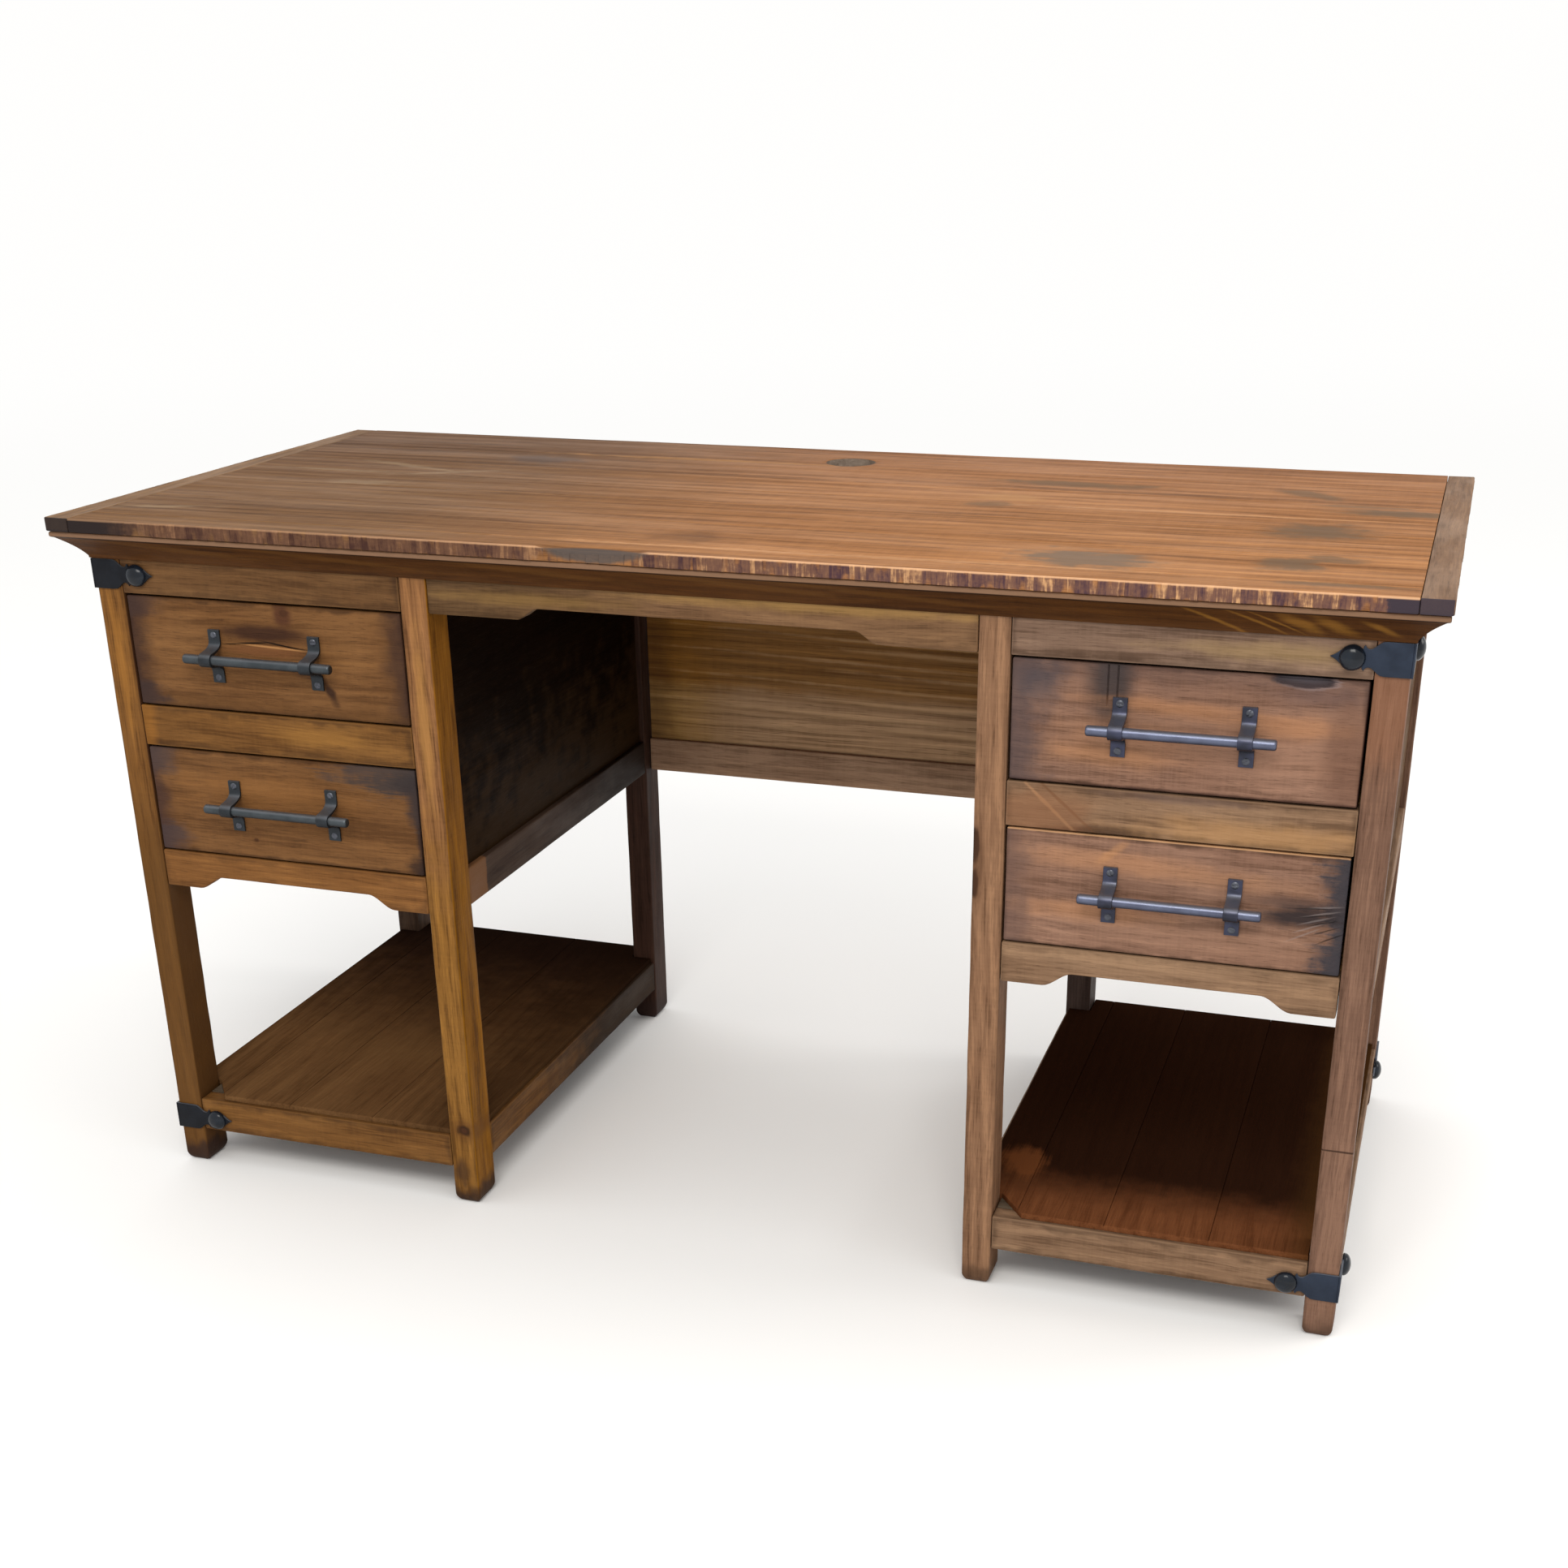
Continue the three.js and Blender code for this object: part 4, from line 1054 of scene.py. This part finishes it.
# ------------------------------------------------------------------ drawers
def drawer_marks(number):
    """Burnt and stained edges, cracks and knots on the face of each drawer, with painted shade along the
    lower and right edge of drawer 3 and a painted highlight on the upper arris of drawer 4.
    """
    if number == 1:
        return [
            band("x", -636, -604, "34221c", 0.85, 0.3, 0.3), band("x", -322, -350, "36241d", 0.8, 0.3, 0.3),
            band("z", 564, 584, "4a3018", 0.5, 0.3), spot(-636, 672, 34, 16, "3a2a26", 0.7, 0.4),
            spot(-632, 574, 26, 14, "352826", 0.8, 0.4), spot(-454, 668, 11, 13, "3e2018", 0.7, 0.5, 20),
            *knot(-452, 671, 7, 5, strength=0.4), spot(-480, 648, 46, 9, "2e1a14", 0.85, 0.5, warp=0.3),
            spot(-478, 629, 44, 5, "74492c", 0.6, 0.5, warp=0.2),
            spot(-500, 636.5, 26, 1.0, "0e0705", 0.95, 0.5, 5, 0.06, rag=0.1),
            spot(-454, 636, 28, 1.0, "0e0705", 0.95, 0.5, -8, 0.06, rag=0.1),
            spot(-470, 634, 40, 0.9, "c08c58", 0.6, 0.6, -2, 0.06, rag=0.1),
            spot(-407, 590, 5, 15, "241410", 0.85, 0.5, 28),
            spot(-430, 606, 24, 3, "3a2418", 0.5, 0.6, -10),
        ]
    if number == 2:
        return [
            band("x", -637, -616, "3a2824", 0.8, 0.35, 0.3), band("x", -318, -326, "2a1f1d", 0.8, 0.5, 0.3),
            spot(-300, 530, 128, 46, "37302f", 0.92, 0.26, 0, 0.3, rag=0.7),
            spot(-310, 476, 20, 38, "352b29", 0.9, 0.4, 0, 0.3),
            spot(-372, 509, 36, 7, "4c3c34", 0.5, 0.7, 8), spot(-330, 500, 14, 10, "2a2628", 0.5, 0.7),
            spot(-312, 402, 22, 14, "2a1d19", 0.85, 0.4), spot(-520, 418, 3.5, 2.5, "3a2010", 0.8, 0.5),
            spot(-638, 506, 34, 20, "453734", 0.8, 0.4), spot(-634, 412, 30, 20, "3e3232", 0.8, 0.4),
            spot(-500, 470, 90, 22, "8a5c30", 0.35, 0.7),
        ]
    if number == 3:
        return [
            spot(540, 612, 120, 30, "96705a", 0.4, 0.8), spot(420, 605, 60, 22, "a0704c", 0.3, 0.8),
            band("x", 322, 376, "4a3e3e", 0.75, 0.4, 0.3), band("z", 677, 655, "513f3a", 0.5, 0.4, 0.3),
            spot(410, 662, 20, 34, "332f30", 0.85, 0.6, warp=0.3, rag=0.2),
            spot(344, 660, 22, 20, "3c3a40", 0.6, 0.6, rag=0.3),
            spot(586, 679, 28, 12.2, "9a8886", 0.4, 0.1, warp=0.06, rag=0.3),
            spot(583, 680, 28, 11.3, "231d20", 0.92, 0.16, warp=0.08, rag=0.3),
            spot(583, 680, 22, 6, "4c474c", 0.6, 0.5, warp=0.1, rag=0.2),
            spot(600, 662, 40, 9, "4e4042", 0.4, 0.8), spot(470, 642, 70, 7, "b07a50", 0.4, 0.8, -2),
            spot(575, 632, 44, 9, "b07a50", 0.4, 0.8), spot(400, 592, 50, 8, "a8764e", 0.35, 0.8),
            # the band on z and the band on x after it are painted shade in the gaps along the lower and the
            # right edge of the drawer
            spot(628, 600, 20, 50, "55392d", 0.5, 0.6), band("z", 563, 566, "2a1512", 0.6, 0.1),
            band("x", 640.4, 638.4, "1c0a08", 0.95, 0.05, 0.1),
        ]
    return [
        spot(430, 488, 90, 10, "b27e56", 0.4, 0.8, -2), spot(400, 436, 70, 9, "b27e56", 0.4, 0.8),
        spot(540, 480, 60, 9, "a87c5c", 0.3, 0.8), spot(520, 420, 110, 16, "94705a", 0.3, 0.8),
        band("x", 322, 352, "5a4640", 0.6, 0.4, 0.3), band("x", 630, 606, "353338", 0.95, 0.5, 0.9),
        spot(600, 452, 40, 11, "2c2526", 0.95, 0.5, 3, 0.35), spot(596, 466, 40, 6, "3a2e2c", 0.6, 0.6),
        *[spot(622 - 4 * i, 464 - 7 * i, 16, 0.9, "8a7f7c", 0.35, 0.6, 8 + 5 * i, 0.35) for i in range(5)],
        *[spot(610 + 5 * i, 462 - 7 * i, 13, 0.8, "120d0d", 0.7, 0.6, 4 + 6 * i, 0.35) for i in range(5)],
        spot(420, 498, 15, 4, "b88458", 0.4, 0.7, 40, 0.4),
        # painted highlight along the upper arris of the drawer
        band("z", 513.3, 512.2, "c89a70", 0.8, 0.03, 0.1),
    ]


GROOVES = (407.5, 416.5)  # two upright saw cuts in drawer 3, in millimetres along the desk


def drawer_shape(number):
    """The relief in the face of a drawer, all in millimetres: a bowed crack in a dent
    (drawer 1), a low place by the stain (2), two grooves and a burnt hollow (3) and
    crackled char (4)."""

    def shape(points, normals):
        x, z = points[:, 0] / MM, points[:, 2] / MM
        front = normals[:, 1] < -0.8
        push = np.zeros(len(points))
        if number == 1:
            bow = 633 + 3.0 * np.cos((x + 476) / 48 * math.pi / 2)
            push += 1.4 * np.exp(-(((z - bow) / 0.9) ** 2)) * (np.abs(x + 476) < 48)
            push += 0.5 * np.exp(-(((x + 478) / 45) ** 2) - ((z - 642) / 14) ** 2)
        if number == 3:
            for groove in GROOVES:
                push += 1.6 * (np.abs(x - groove) < 1.1) * (z > 640)
            push += 3.0 * np.clip(1 - ((x - 583) / 28) ** 2 - ((z - 680) / 11.5) ** 2, 0, 1) ** 0.5
        if number == 4:
            crackled = np.sin(x * 0.5 + 2 * np.sin(z * 0.23)) * np.sin(z * 1.1 + x * 0.3)
            push += 0.8 * (0.5 + crackled) * np.clip((x - 606) / 14, 0, 1)
        if number == 2:
            above = z - 488 - (x + 420) * -0.12
            push += 0.5 * np.clip((x + 420) / 60, 0, 1) * np.clip(above / 10, 0, 1)
        points[:, 1] += np.maximum(push, 0) * front * MM
        return points

    return shape


def add_drawer(number, materials):
    """The front, the box of four walls and a bottom, and the pull of one drawer."""
    hand = DRAWERS[number]
    body = f"drawer_{number}"
    low, high = box_of(body + "_front")
    material = wood(
        body, STAIN["drawer"][hand], "x", 500 + number * 3, (low, high), drawer_marks(number),
        grime=0.6, grime_width=5, arris=0.1, bump=0.6, spread=0.7, sawn={"left": 0.08, "right": 0.13}[hand],
    )
    across = [(groove + step) * MM for groove in GROOVES for step in (-2.0, -1.1, 0.0, 1.1, 2.0)]
    crack = [(633 + 0.6 * step) * MM for step in range(-2, 9)]
    extra = (across if number == 3 else (), (), crack if number == 1 else ())
    part = board(low, high, 2.0, 2.6, 0.4, 510 + number, extra, 0.05, drawer_shape(number))
    piece(body + "_front_board", [(part, material)], body, [body + "_front"])

    (x0, y0, z0), (x1, y1, z1) = box_of(body + "_box")
    wall, gap, floor_low, floor_high = 0.012, 0.0001, z0 + 0.008, z0 + 0.014
    inside = [
        ((x0, y0, z0), (x0 + wall, y1, z1), "y"),
        ((x1 - wall, y0, z0), (x1, y1, z1), "y"),
        ((x0 + wall + gap, y0, z0), (x1 - wall - gap, y0 + wall, z1), "x"),
        ((x0 + wall + gap, y1 - wall, z0), (x1 - wall - gap, y1, z1), "x"),
        ((x0 + wall, y0 + wall, floor_low), (x1 - wall, y1 - wall, floor_high), "x"),
    ]
    parts = []
    for i, (a, b, grain) in enumerate(inside):
        parts.append((board(a, b, 0.9, 30.0, 0.15, 530 + number * 7 + i), materials["inside_" + grain]))
    piece(body + "_box_boards", parts, body, [body + "_box"])
    add_pull(number, materials)


# ------------------------------------------------------------------ pulls
def rod(length, radius, centre):
    """The rod of a pull, along X: a little uneven, with its ends chamfered."""
    end, inner, count = -length / 2, 0.0025, 46
    stations = [(end, radius * 0.72), (end + 0.0004, radius * 0.86), (end + 0.0013, radius * 0.98)]
    far_end = [(-x, r) for x, r in stations[::-1]]
    stations += [(end + inner + (length - 2 * inner) * i / count, radius) for i in range(count + 1)]
    cos, sin = circle(24)
    loops = []
    for x, r in stations + far_end:
        ring = np.column_stack((np.full(24, x), sin * r, cos * r))
        away = 1 - 0.022 * (1 + waves(ring * (1, 2, 2), 77, 0.03))
        ring[:, 1:] *= away[:, None]
        loops.append(ring + np.array(centre))
    return sweep(loops)


def bracket(x, y_back, z):
    """A strap of iron: a plate, a bend out over the rod, and a plate again. Its section runs
    out from the drawer and up, and is drawn out to both sides with rounded arrises."""
    half, thick, width, plate_height = 0.0284, 0.0022, 0.0138, 0.0135
    reach, radius = 0.0188, 0.00525
    outer, neck = radius + thick, half - plate_height
    shoulder = ((thick, neck + 0.002), (thick, neck - 0.004), (reach * 0.42, outer + 0.0016), (reach, outer))
    inner = (reach - radius * 0.5, radius * 0.8)
    hollow = ((0.0, neck), (0.0, neck - 0.005), (reach * 0.4, radius + 0.0018), inner)
    upper = [(thick * 0.35, half), (thick, half - 0.0006), shoulder[0], *bezier(shoulder, 8)]
    nose = [(reach + outer * math.sin(t), outer * math.cos(t)) for t in np.linspace(0, math.pi, 13)[1:-1]]
    back = [(0.0, half), hollow[0], *bezier(hollow, 6)]
    outline = [(a, -b) for a, b in back] + back[::-1] + upper + nose + [(a, -b) for a, b in reversed(upper)]
    side = plate(outline[::-1], 0.0, width / 2)
    return [
        moved(side, Matrix(((0, 0, way, x), (-1, 0, 0, y_back), (0, 1, 0, z), (0, 0, 0, 1))))
        for way in (1, -1)
    ]


def screw(x, y, z, turn):
    """A raised countersunk screw head with a slot, looking towards -Y."""
    radius, rise, slot_half, slot_deep = 0.0036, 0.0012, 0.0007, 0.0006
    steps = ((1, 0.0), (1, 0.0003), (0.82, rise * 0.75), (0.5, rise), (0.12, rise * 1.05))
    cos, sin = circle(20)
    loops = []
    for share, out in steps:
        ring = np.column_stack((cos * radius * share, np.full(20, -out), sin * radius * share))
        across = ring[:, 0] * math.sin(turn) + ring[:, 2] * math.cos(turn)
        ring[:, 1] += slot_deep * (np.abs(across) < slot_half) * (out > 0.0004)
        loops.append(ring + np.array((x, y, z)))
    return sweep(loops)


def add_pull(number, materials):
    body, hand = f"drawer_{number}", DRAWERS[number]
    low, high = box_of(body + "_pull")
    centre_x, z = (low[0] + high[0]) / 2, (low[2] + high[2]) / 2
    back = high[1]
    length, radius, rod_out, strap_x, screw_z = 0.1735, 0.0052, 0.019, 0.059, 0.0225
    parts = [(rod(length, radius, (centre_x, back - rod_out, z)), materials["rod_" + hand])]
    for i, side in enumerate((-1, 1)):
        x = centre_x + side * strap_x
        parts += [(half, materials["strap_" + hand]) for half in bracket(x, back, z)]
        for j, up in enumerate((-1, 1)):
            turn = 0.7 + i * 1.9 + j * 2.7 + number
            parts.append((screw(x, back - 0.0021, z + up * screw_z, turn), materials["screw"]))
    piece(body + "_pull_iron", parts, body, [body + "_pull"])


# ------------------------------------------------------------------ corner straps
STRAP_HALF, STRAP_THICK = 0.01555, 0.0019
STRAP_GAP = 0.0003  # between a strap and its post
NAIL = 0.0515  # from the corner to the middle of the nail


def strap_outline():
    """One leg: wide at the corner, two cusps at the neck, round the nail and to a point."""
    tip, round_nail = 0.0708, 0.0107
    neck = (
        (0.0, 1), (0.0225, 1), (0.0262, 0.97), (0.0295, 0.84), (0.0325, 0.66), (0.0352, 0.54),
        (0.0378, 0.52), (0.0400, 0.60), (0.0412, 0.74), (0.0424, 0.66),
    )
    upper = [(along, STRAP_HALF * share) for along, share in neck]
    for angle in np.linspace(math.radians(140), math.radians(48), 8):
        upper.append((NAIL + round_nail * math.cos(angle), round_nail * math.sin(angle)))
    upper += [(0.0612, 0.0066), (0.0640, 0.0040), (0.0668, 0.0020)]
    return [(a, -b) for a, b in upper] + [(tip, 0.0)] + upper[::-1]


def dome(radius, rise, seed):
    """A forged nail head, standing on Z = 0."""
    steps = [(radius * 0.97, 0.0), (radius, rise * 0.10), (radius * 0.985, rise * 0.2)]
    for a in np.linspace(0.22, math.pi / 2 - 0.08, 9):
        steps.append((radius * math.cos(a), rise * (0.16 + 0.84 * math.sin(a))))
    cos, sin = circle(28)
    loops = []
    for r, z in steps:
        ring = np.column_stack((cos * r, sin * r, np.full(28, z)))
        loops.append(ring * (1 - 0.012 * (1 + waves(ring, seed, 0.012)))[:, None])
    return sweep(loops)


def strap(corner, side, ahead, seed, materials, hand):
    """The parts of one strap: a leg with its nail on each face, and the corner between."""
    leg = plate(strap_outline(), 0.0, STRAP_THICK)
    nail = moved(dome(0.0119, 0.0088, seed), Matrix.Translation((NAIL, 0, 0.0004)))
    parts = []
    for along, out in (((-side, 0, 0), (0, ahead, 0)), ((0, -ahead, 0), (side, 0, 0))):
        basis = Matrix((along, (0, 0, 1), out)).transposed().to_4x4()
        basis.translation = corner
        for shape, metal in ((leg, "plate_" + hand), (nail, "dome")):
            parts.append((moved(shape, basis), materials[metal]))
    a = corner - Vector((0, 0, STRAP_HALF))
    b = corner + Vector((side * STRAP_THICK, ahead * STRAP_THICK, STRAP_HALF))
    block = board(np.minimum(a, b), np.maximum(a, b), 0.9, 10.0, 0.0)
    return [*parts, (block, materials["plate_" + hand])]


def add_straps(materials):
    rng = np.random.default_rng(90)
    for hand, side in HANDS.items():
        for level in ("upper", "lower"):
            node = f"corner_strap_{hand}_{level}"
            low, high = box_of(node)
            for end, ahead in (("front", -1), ("rear", 1)):
                out_x, out_y = FRAME_X + STRAP_GAP, FRAME_Y + STRAP_GAP
                corner = Vector((side * out_x, ahead * out_y, (low[2] + high[2]) / 2))
                parts = strap(corner, side, ahead, int(rng.integers(1000)), materials, hand)
                piece(f"{node}_{end}", parts, BODY, [node] if end == "front" else [])


# ------------------------------------------------------------------ runners
def add_runners(materials):
    for hand in HANDS:
        for level in ("upper", "lower"):
            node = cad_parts[f"runner_frame_{hand}_{level}"]
            node.data.materials.clear()
            node.data.materials.append(materials["inside_y"])
            bevel = node.modifiers.new("arris", "BEVEL")
            bevel.width = 0.0009
            bevel.segments = 2
            bevel.limit_method = "ANGLE"


# ------------------------------------------------------------------ the desk
def crown_marks():
    """Golden streaks that run slanting over the cove, and the paler fillet above it."""
    slants = ((500, 30, 1.6), (538, 24, 1.3), (556, 22, 1.0), (577, 17, 4.6), (606, 17, 4.6), (646, 14, 2.6))
    marks = [spot(x, 729, wide, tall, "946628", 0.45, 0.7, -24, 0.4) for x, wide, tall in slants]
    marks += [spot(x, 733, 90, 3.0, "5e3c18", 0.5, 0.6, -4, 0.3) for x in (-560, -380, -150, 60, 190)]
    shadow = band("z", 740.8, 739.9, "24140a", 0.8, 0.05, 0.05)
    fillet = band("z", 742.8, 741.9, "7e604a", 0.9, 0.05, 0.1)
    return [*marks, shadow, fillet]


def top_marks():
    """Grey stains, pale rubs and dark streaks on the top, and painted shade that darkens and greys its left
    part.
    """
    grey, pale, dark, honey = "66523f", "a08a6c", "5c3c24", "c4946a"

    def rub(x, y, wide, tall, color, strength, turn=0.0, soft=0.5):
        return spot(x, y, wide, tall, color, strength, soft, turn, 0.7, "top", 0.9)

    rubs = [
        (286, 157, 75, 14, grey, 0.75), (236, 62, 34, 22, "b08454", 0.35), (220, 15, 26, 14, grey, 0.6),
        (565, -47, 46, 40, grey, 0.85), (640, 69, 54, 16, grey, 0.85), (600, 100, 44, 8, grey, 0.55),
        (540, 161, 38, 14, grey, 0.7, -38), (373, -235, 52, 36, "705c4a", 0.9, 0, 0.4),
        (552, -210, 30, 23, grey, 0.85, 0, 0.4), (594, -181, 24, 14, grey, 0.7, -20),
        (-14, -239, 40, 26, dark, 0.5), (-360, 165, 42, 26, "54443c", 0.7), (607, -293, 64, 8, grey, 0.7),
        (-500, 80, 70, 7, pale, 0.3, -20), (-490, -40, 40, 12, pale, 0.3),
        (-620, -235, 50, 7, pale, 0.35, 14), (-560, 30, 90, 4, pale, 0.35),
        (-430, 45, 60, 5, pale, 0.3, 28), (-120, 112, 190, 4, dark, 0.6), (-60, -122, 170, 4, dark, 0.55),
        (250, -60, 230, 3, dark, 0.5), (330, 120, 150, 4, dark, 0.5), (480, -150, 120, 3, dark, 0.5),
        (120, -190, 160, 3, dark, 0.45), (180, -285, 260, 5, honey, 0.5), (420, 20, 200, 5, honey, 0.4),
        (-200, 210, 170, 7, "a87c50", 0.5),
    ]
    # painted shade: the top darker and greyer towards the left, where less light falls on it
    left_shade = toning("x", -420, 100, TOP, "6c5036", 0.85, 0.06)
    redder = toning("y", 330, -100, TOP, "8a6045", 0.6, 0.06)
    return [left_shade, redder, *[rub(*values) for values in rubs]]


def top_wood(name):
    return wood(name, TOP, "x", 60, None, top_marks(), fine=0.9, spread=0.9, sheen=0.04, short=0.45)


def strip_material():
    """The front strip: like the top, but its chiselled face is streaked tan and purple-brown,
    with dark blocks at its ends, a grey hollow and a painted highlight along its upper arris."""
    material = top_wood("strip")
    t = Tree(material.node_tree)
    base_color = material.node_tree.nodes["Principled BSDF"].inputs["Base Color"]
    base = base_color.links[0].from_socket
    place = t.here()
    x, y, z = t.split(place)
    tint = t.node("ShaderNodeAttribute", {}, attribute_name="cut_tint").outputs["Fac"]
    upright = t.noise(t.scaled(place, (420.0, 60.0, 55.0)), 3.0, 0.65)
    mottle = t.noise(t.scaled(place, (90.0, 60.0, 160.0)), 3.0, 0.6)
    stretch = t.noise(t.scaled(place, (16.0, 0.0, 0.0)), 2.0, 0.5)
    value = t.times(tint, 0.22)
    for part, share in ((upright, 0.5), (mottle, 0.3), (stretch, 0.5)):
        value = t.plus(value, t.times(part, share))
    along = t.fade(x, -0.35, 0.35)
    cut = t.mix(t.fade(value, 0.56, 0.80), t.mix(along, "402a24", "46323a"), t.mix(along, "5e4232", "705042"))
    cut = t.mix(t.fade(value, 0.78, 0.98), cut, t.mix(along, "7c5a42", "c4966a"))
    stray = t.times(t.minus(mottle, 0.5), 0.02)
    for hand, full, gone in (("left", -0.640, -0.560), ("right", 0.650, 0.646)):
        cut = t.mix(t.fade(t.plus(x, stray), gone, full), cut, CHAR[hand])
    hollow = mapping(t, place, (-0.087, -0.330, 0.765), (0, 0, 0), (0.062, 0.016, 0.02))
    pit = t.vector("LENGTH", hollow)
    front, top = box_of("top_front_strip")[0][1], box_of("top_front_strip")[1][2]
    face = t.fade(t.plus(y, t.times(stray, 0.05)), front + 2.4 * MM, front + 1.4 * MM)
    color = t.mix(face, base, cut)
    # painted highlight along the upper front arris, stronger towards the right
    upper = t.fade(z, top - 2.2 * MM, top - 0.8 * MM)
    outer = t.fade(y, front + 4.0 * MM, front + 2.2 * MM)
    painted_highlight = t.times(t.times(upper, outer), t.fade(x, -0.5, 0.2, 0.25, 0.75))
    color = t.mix(painted_highlight, color, "dfae84")
    color = t.mix(t.times(t.fade(pit, 1.05, 0.85), 0.85), color, "4c4846")
    t.put(base_color, color)
    return material


def main():
    add_camera()
    add_studio()
    ends = {}
    for hand, char in CHAR.items():
        ends[hand] = [band("y", -324.2, -323.4, char, 0.95, 0.1, 0.1), band("z", 749, 751, char, 0.8)]
    materials = {
        "top": top_wood("top"),
        "hole": wood("hole", "7a6c60", "x", 62),
        "ledge": wood("ledge", "5e5244", "x", 69),
        "strip": strip_material(),
        "end_left": wood("end_left", "7a5c40", "y", 63, None, ends["left"]),
        "end_right": wood("end_right", "80644e", "y", 64, None, ends["right"]),
        "crown_x": wood("crown_x", CROWN, "x", 65, None, crown_marks()),
        "crown_y": wood("crown_y", CROWN, "y", 66, None, [band("z", 744, 740, "7c5c40", 0.75, 0.2)]),
        "inside_x": wood("inside_x", INSIDE, "x", 67, rough=(0.6, 0.8), cloud=0.15),
        "inside_y": wood("inside_y", INSIDE, "y", 68, rough=(0.6, 0.8), cloud=0.15),
    }
    irons = {
        "plate_left": ("14161c", "1e2128", (0.5, 0.62), 0.35),
        "plate_right": ("272f3d", "323b4b", (0.5, 0.62), 0.35),
        "strap_left": ("2b2f33", "34393e", (0.42, 0.55)),
        "strap_right": ("30323e", "42455a", (0.34, 0.46), 0.3),
        "rod_left": ("3a4044", "484e52", (0.36, 0.48), 0.4),
        "rod_right": ("565a6e", "646a80", (0.3, 0.4), 0.15),
        "screw": ("4a4c54", "5c5f68", (0.35, 0.5), 0.2),
        "dome": ("0d1219", "141c26", (0.16, 0.24), 0.1, 0.0, 0.28, 0.0),
    }
    for name, look in irons.items():
        materials[name] = iron(name, *look)
    add_top(materials)
    add_crown(materials)
    add_posts()
    add_rails()
    add_panels()
    add_shelves(materials)
    add_runners(materials)
    for number in DRAWERS:
        add_drawer(number, materials)
    add_straps(materials)


main()
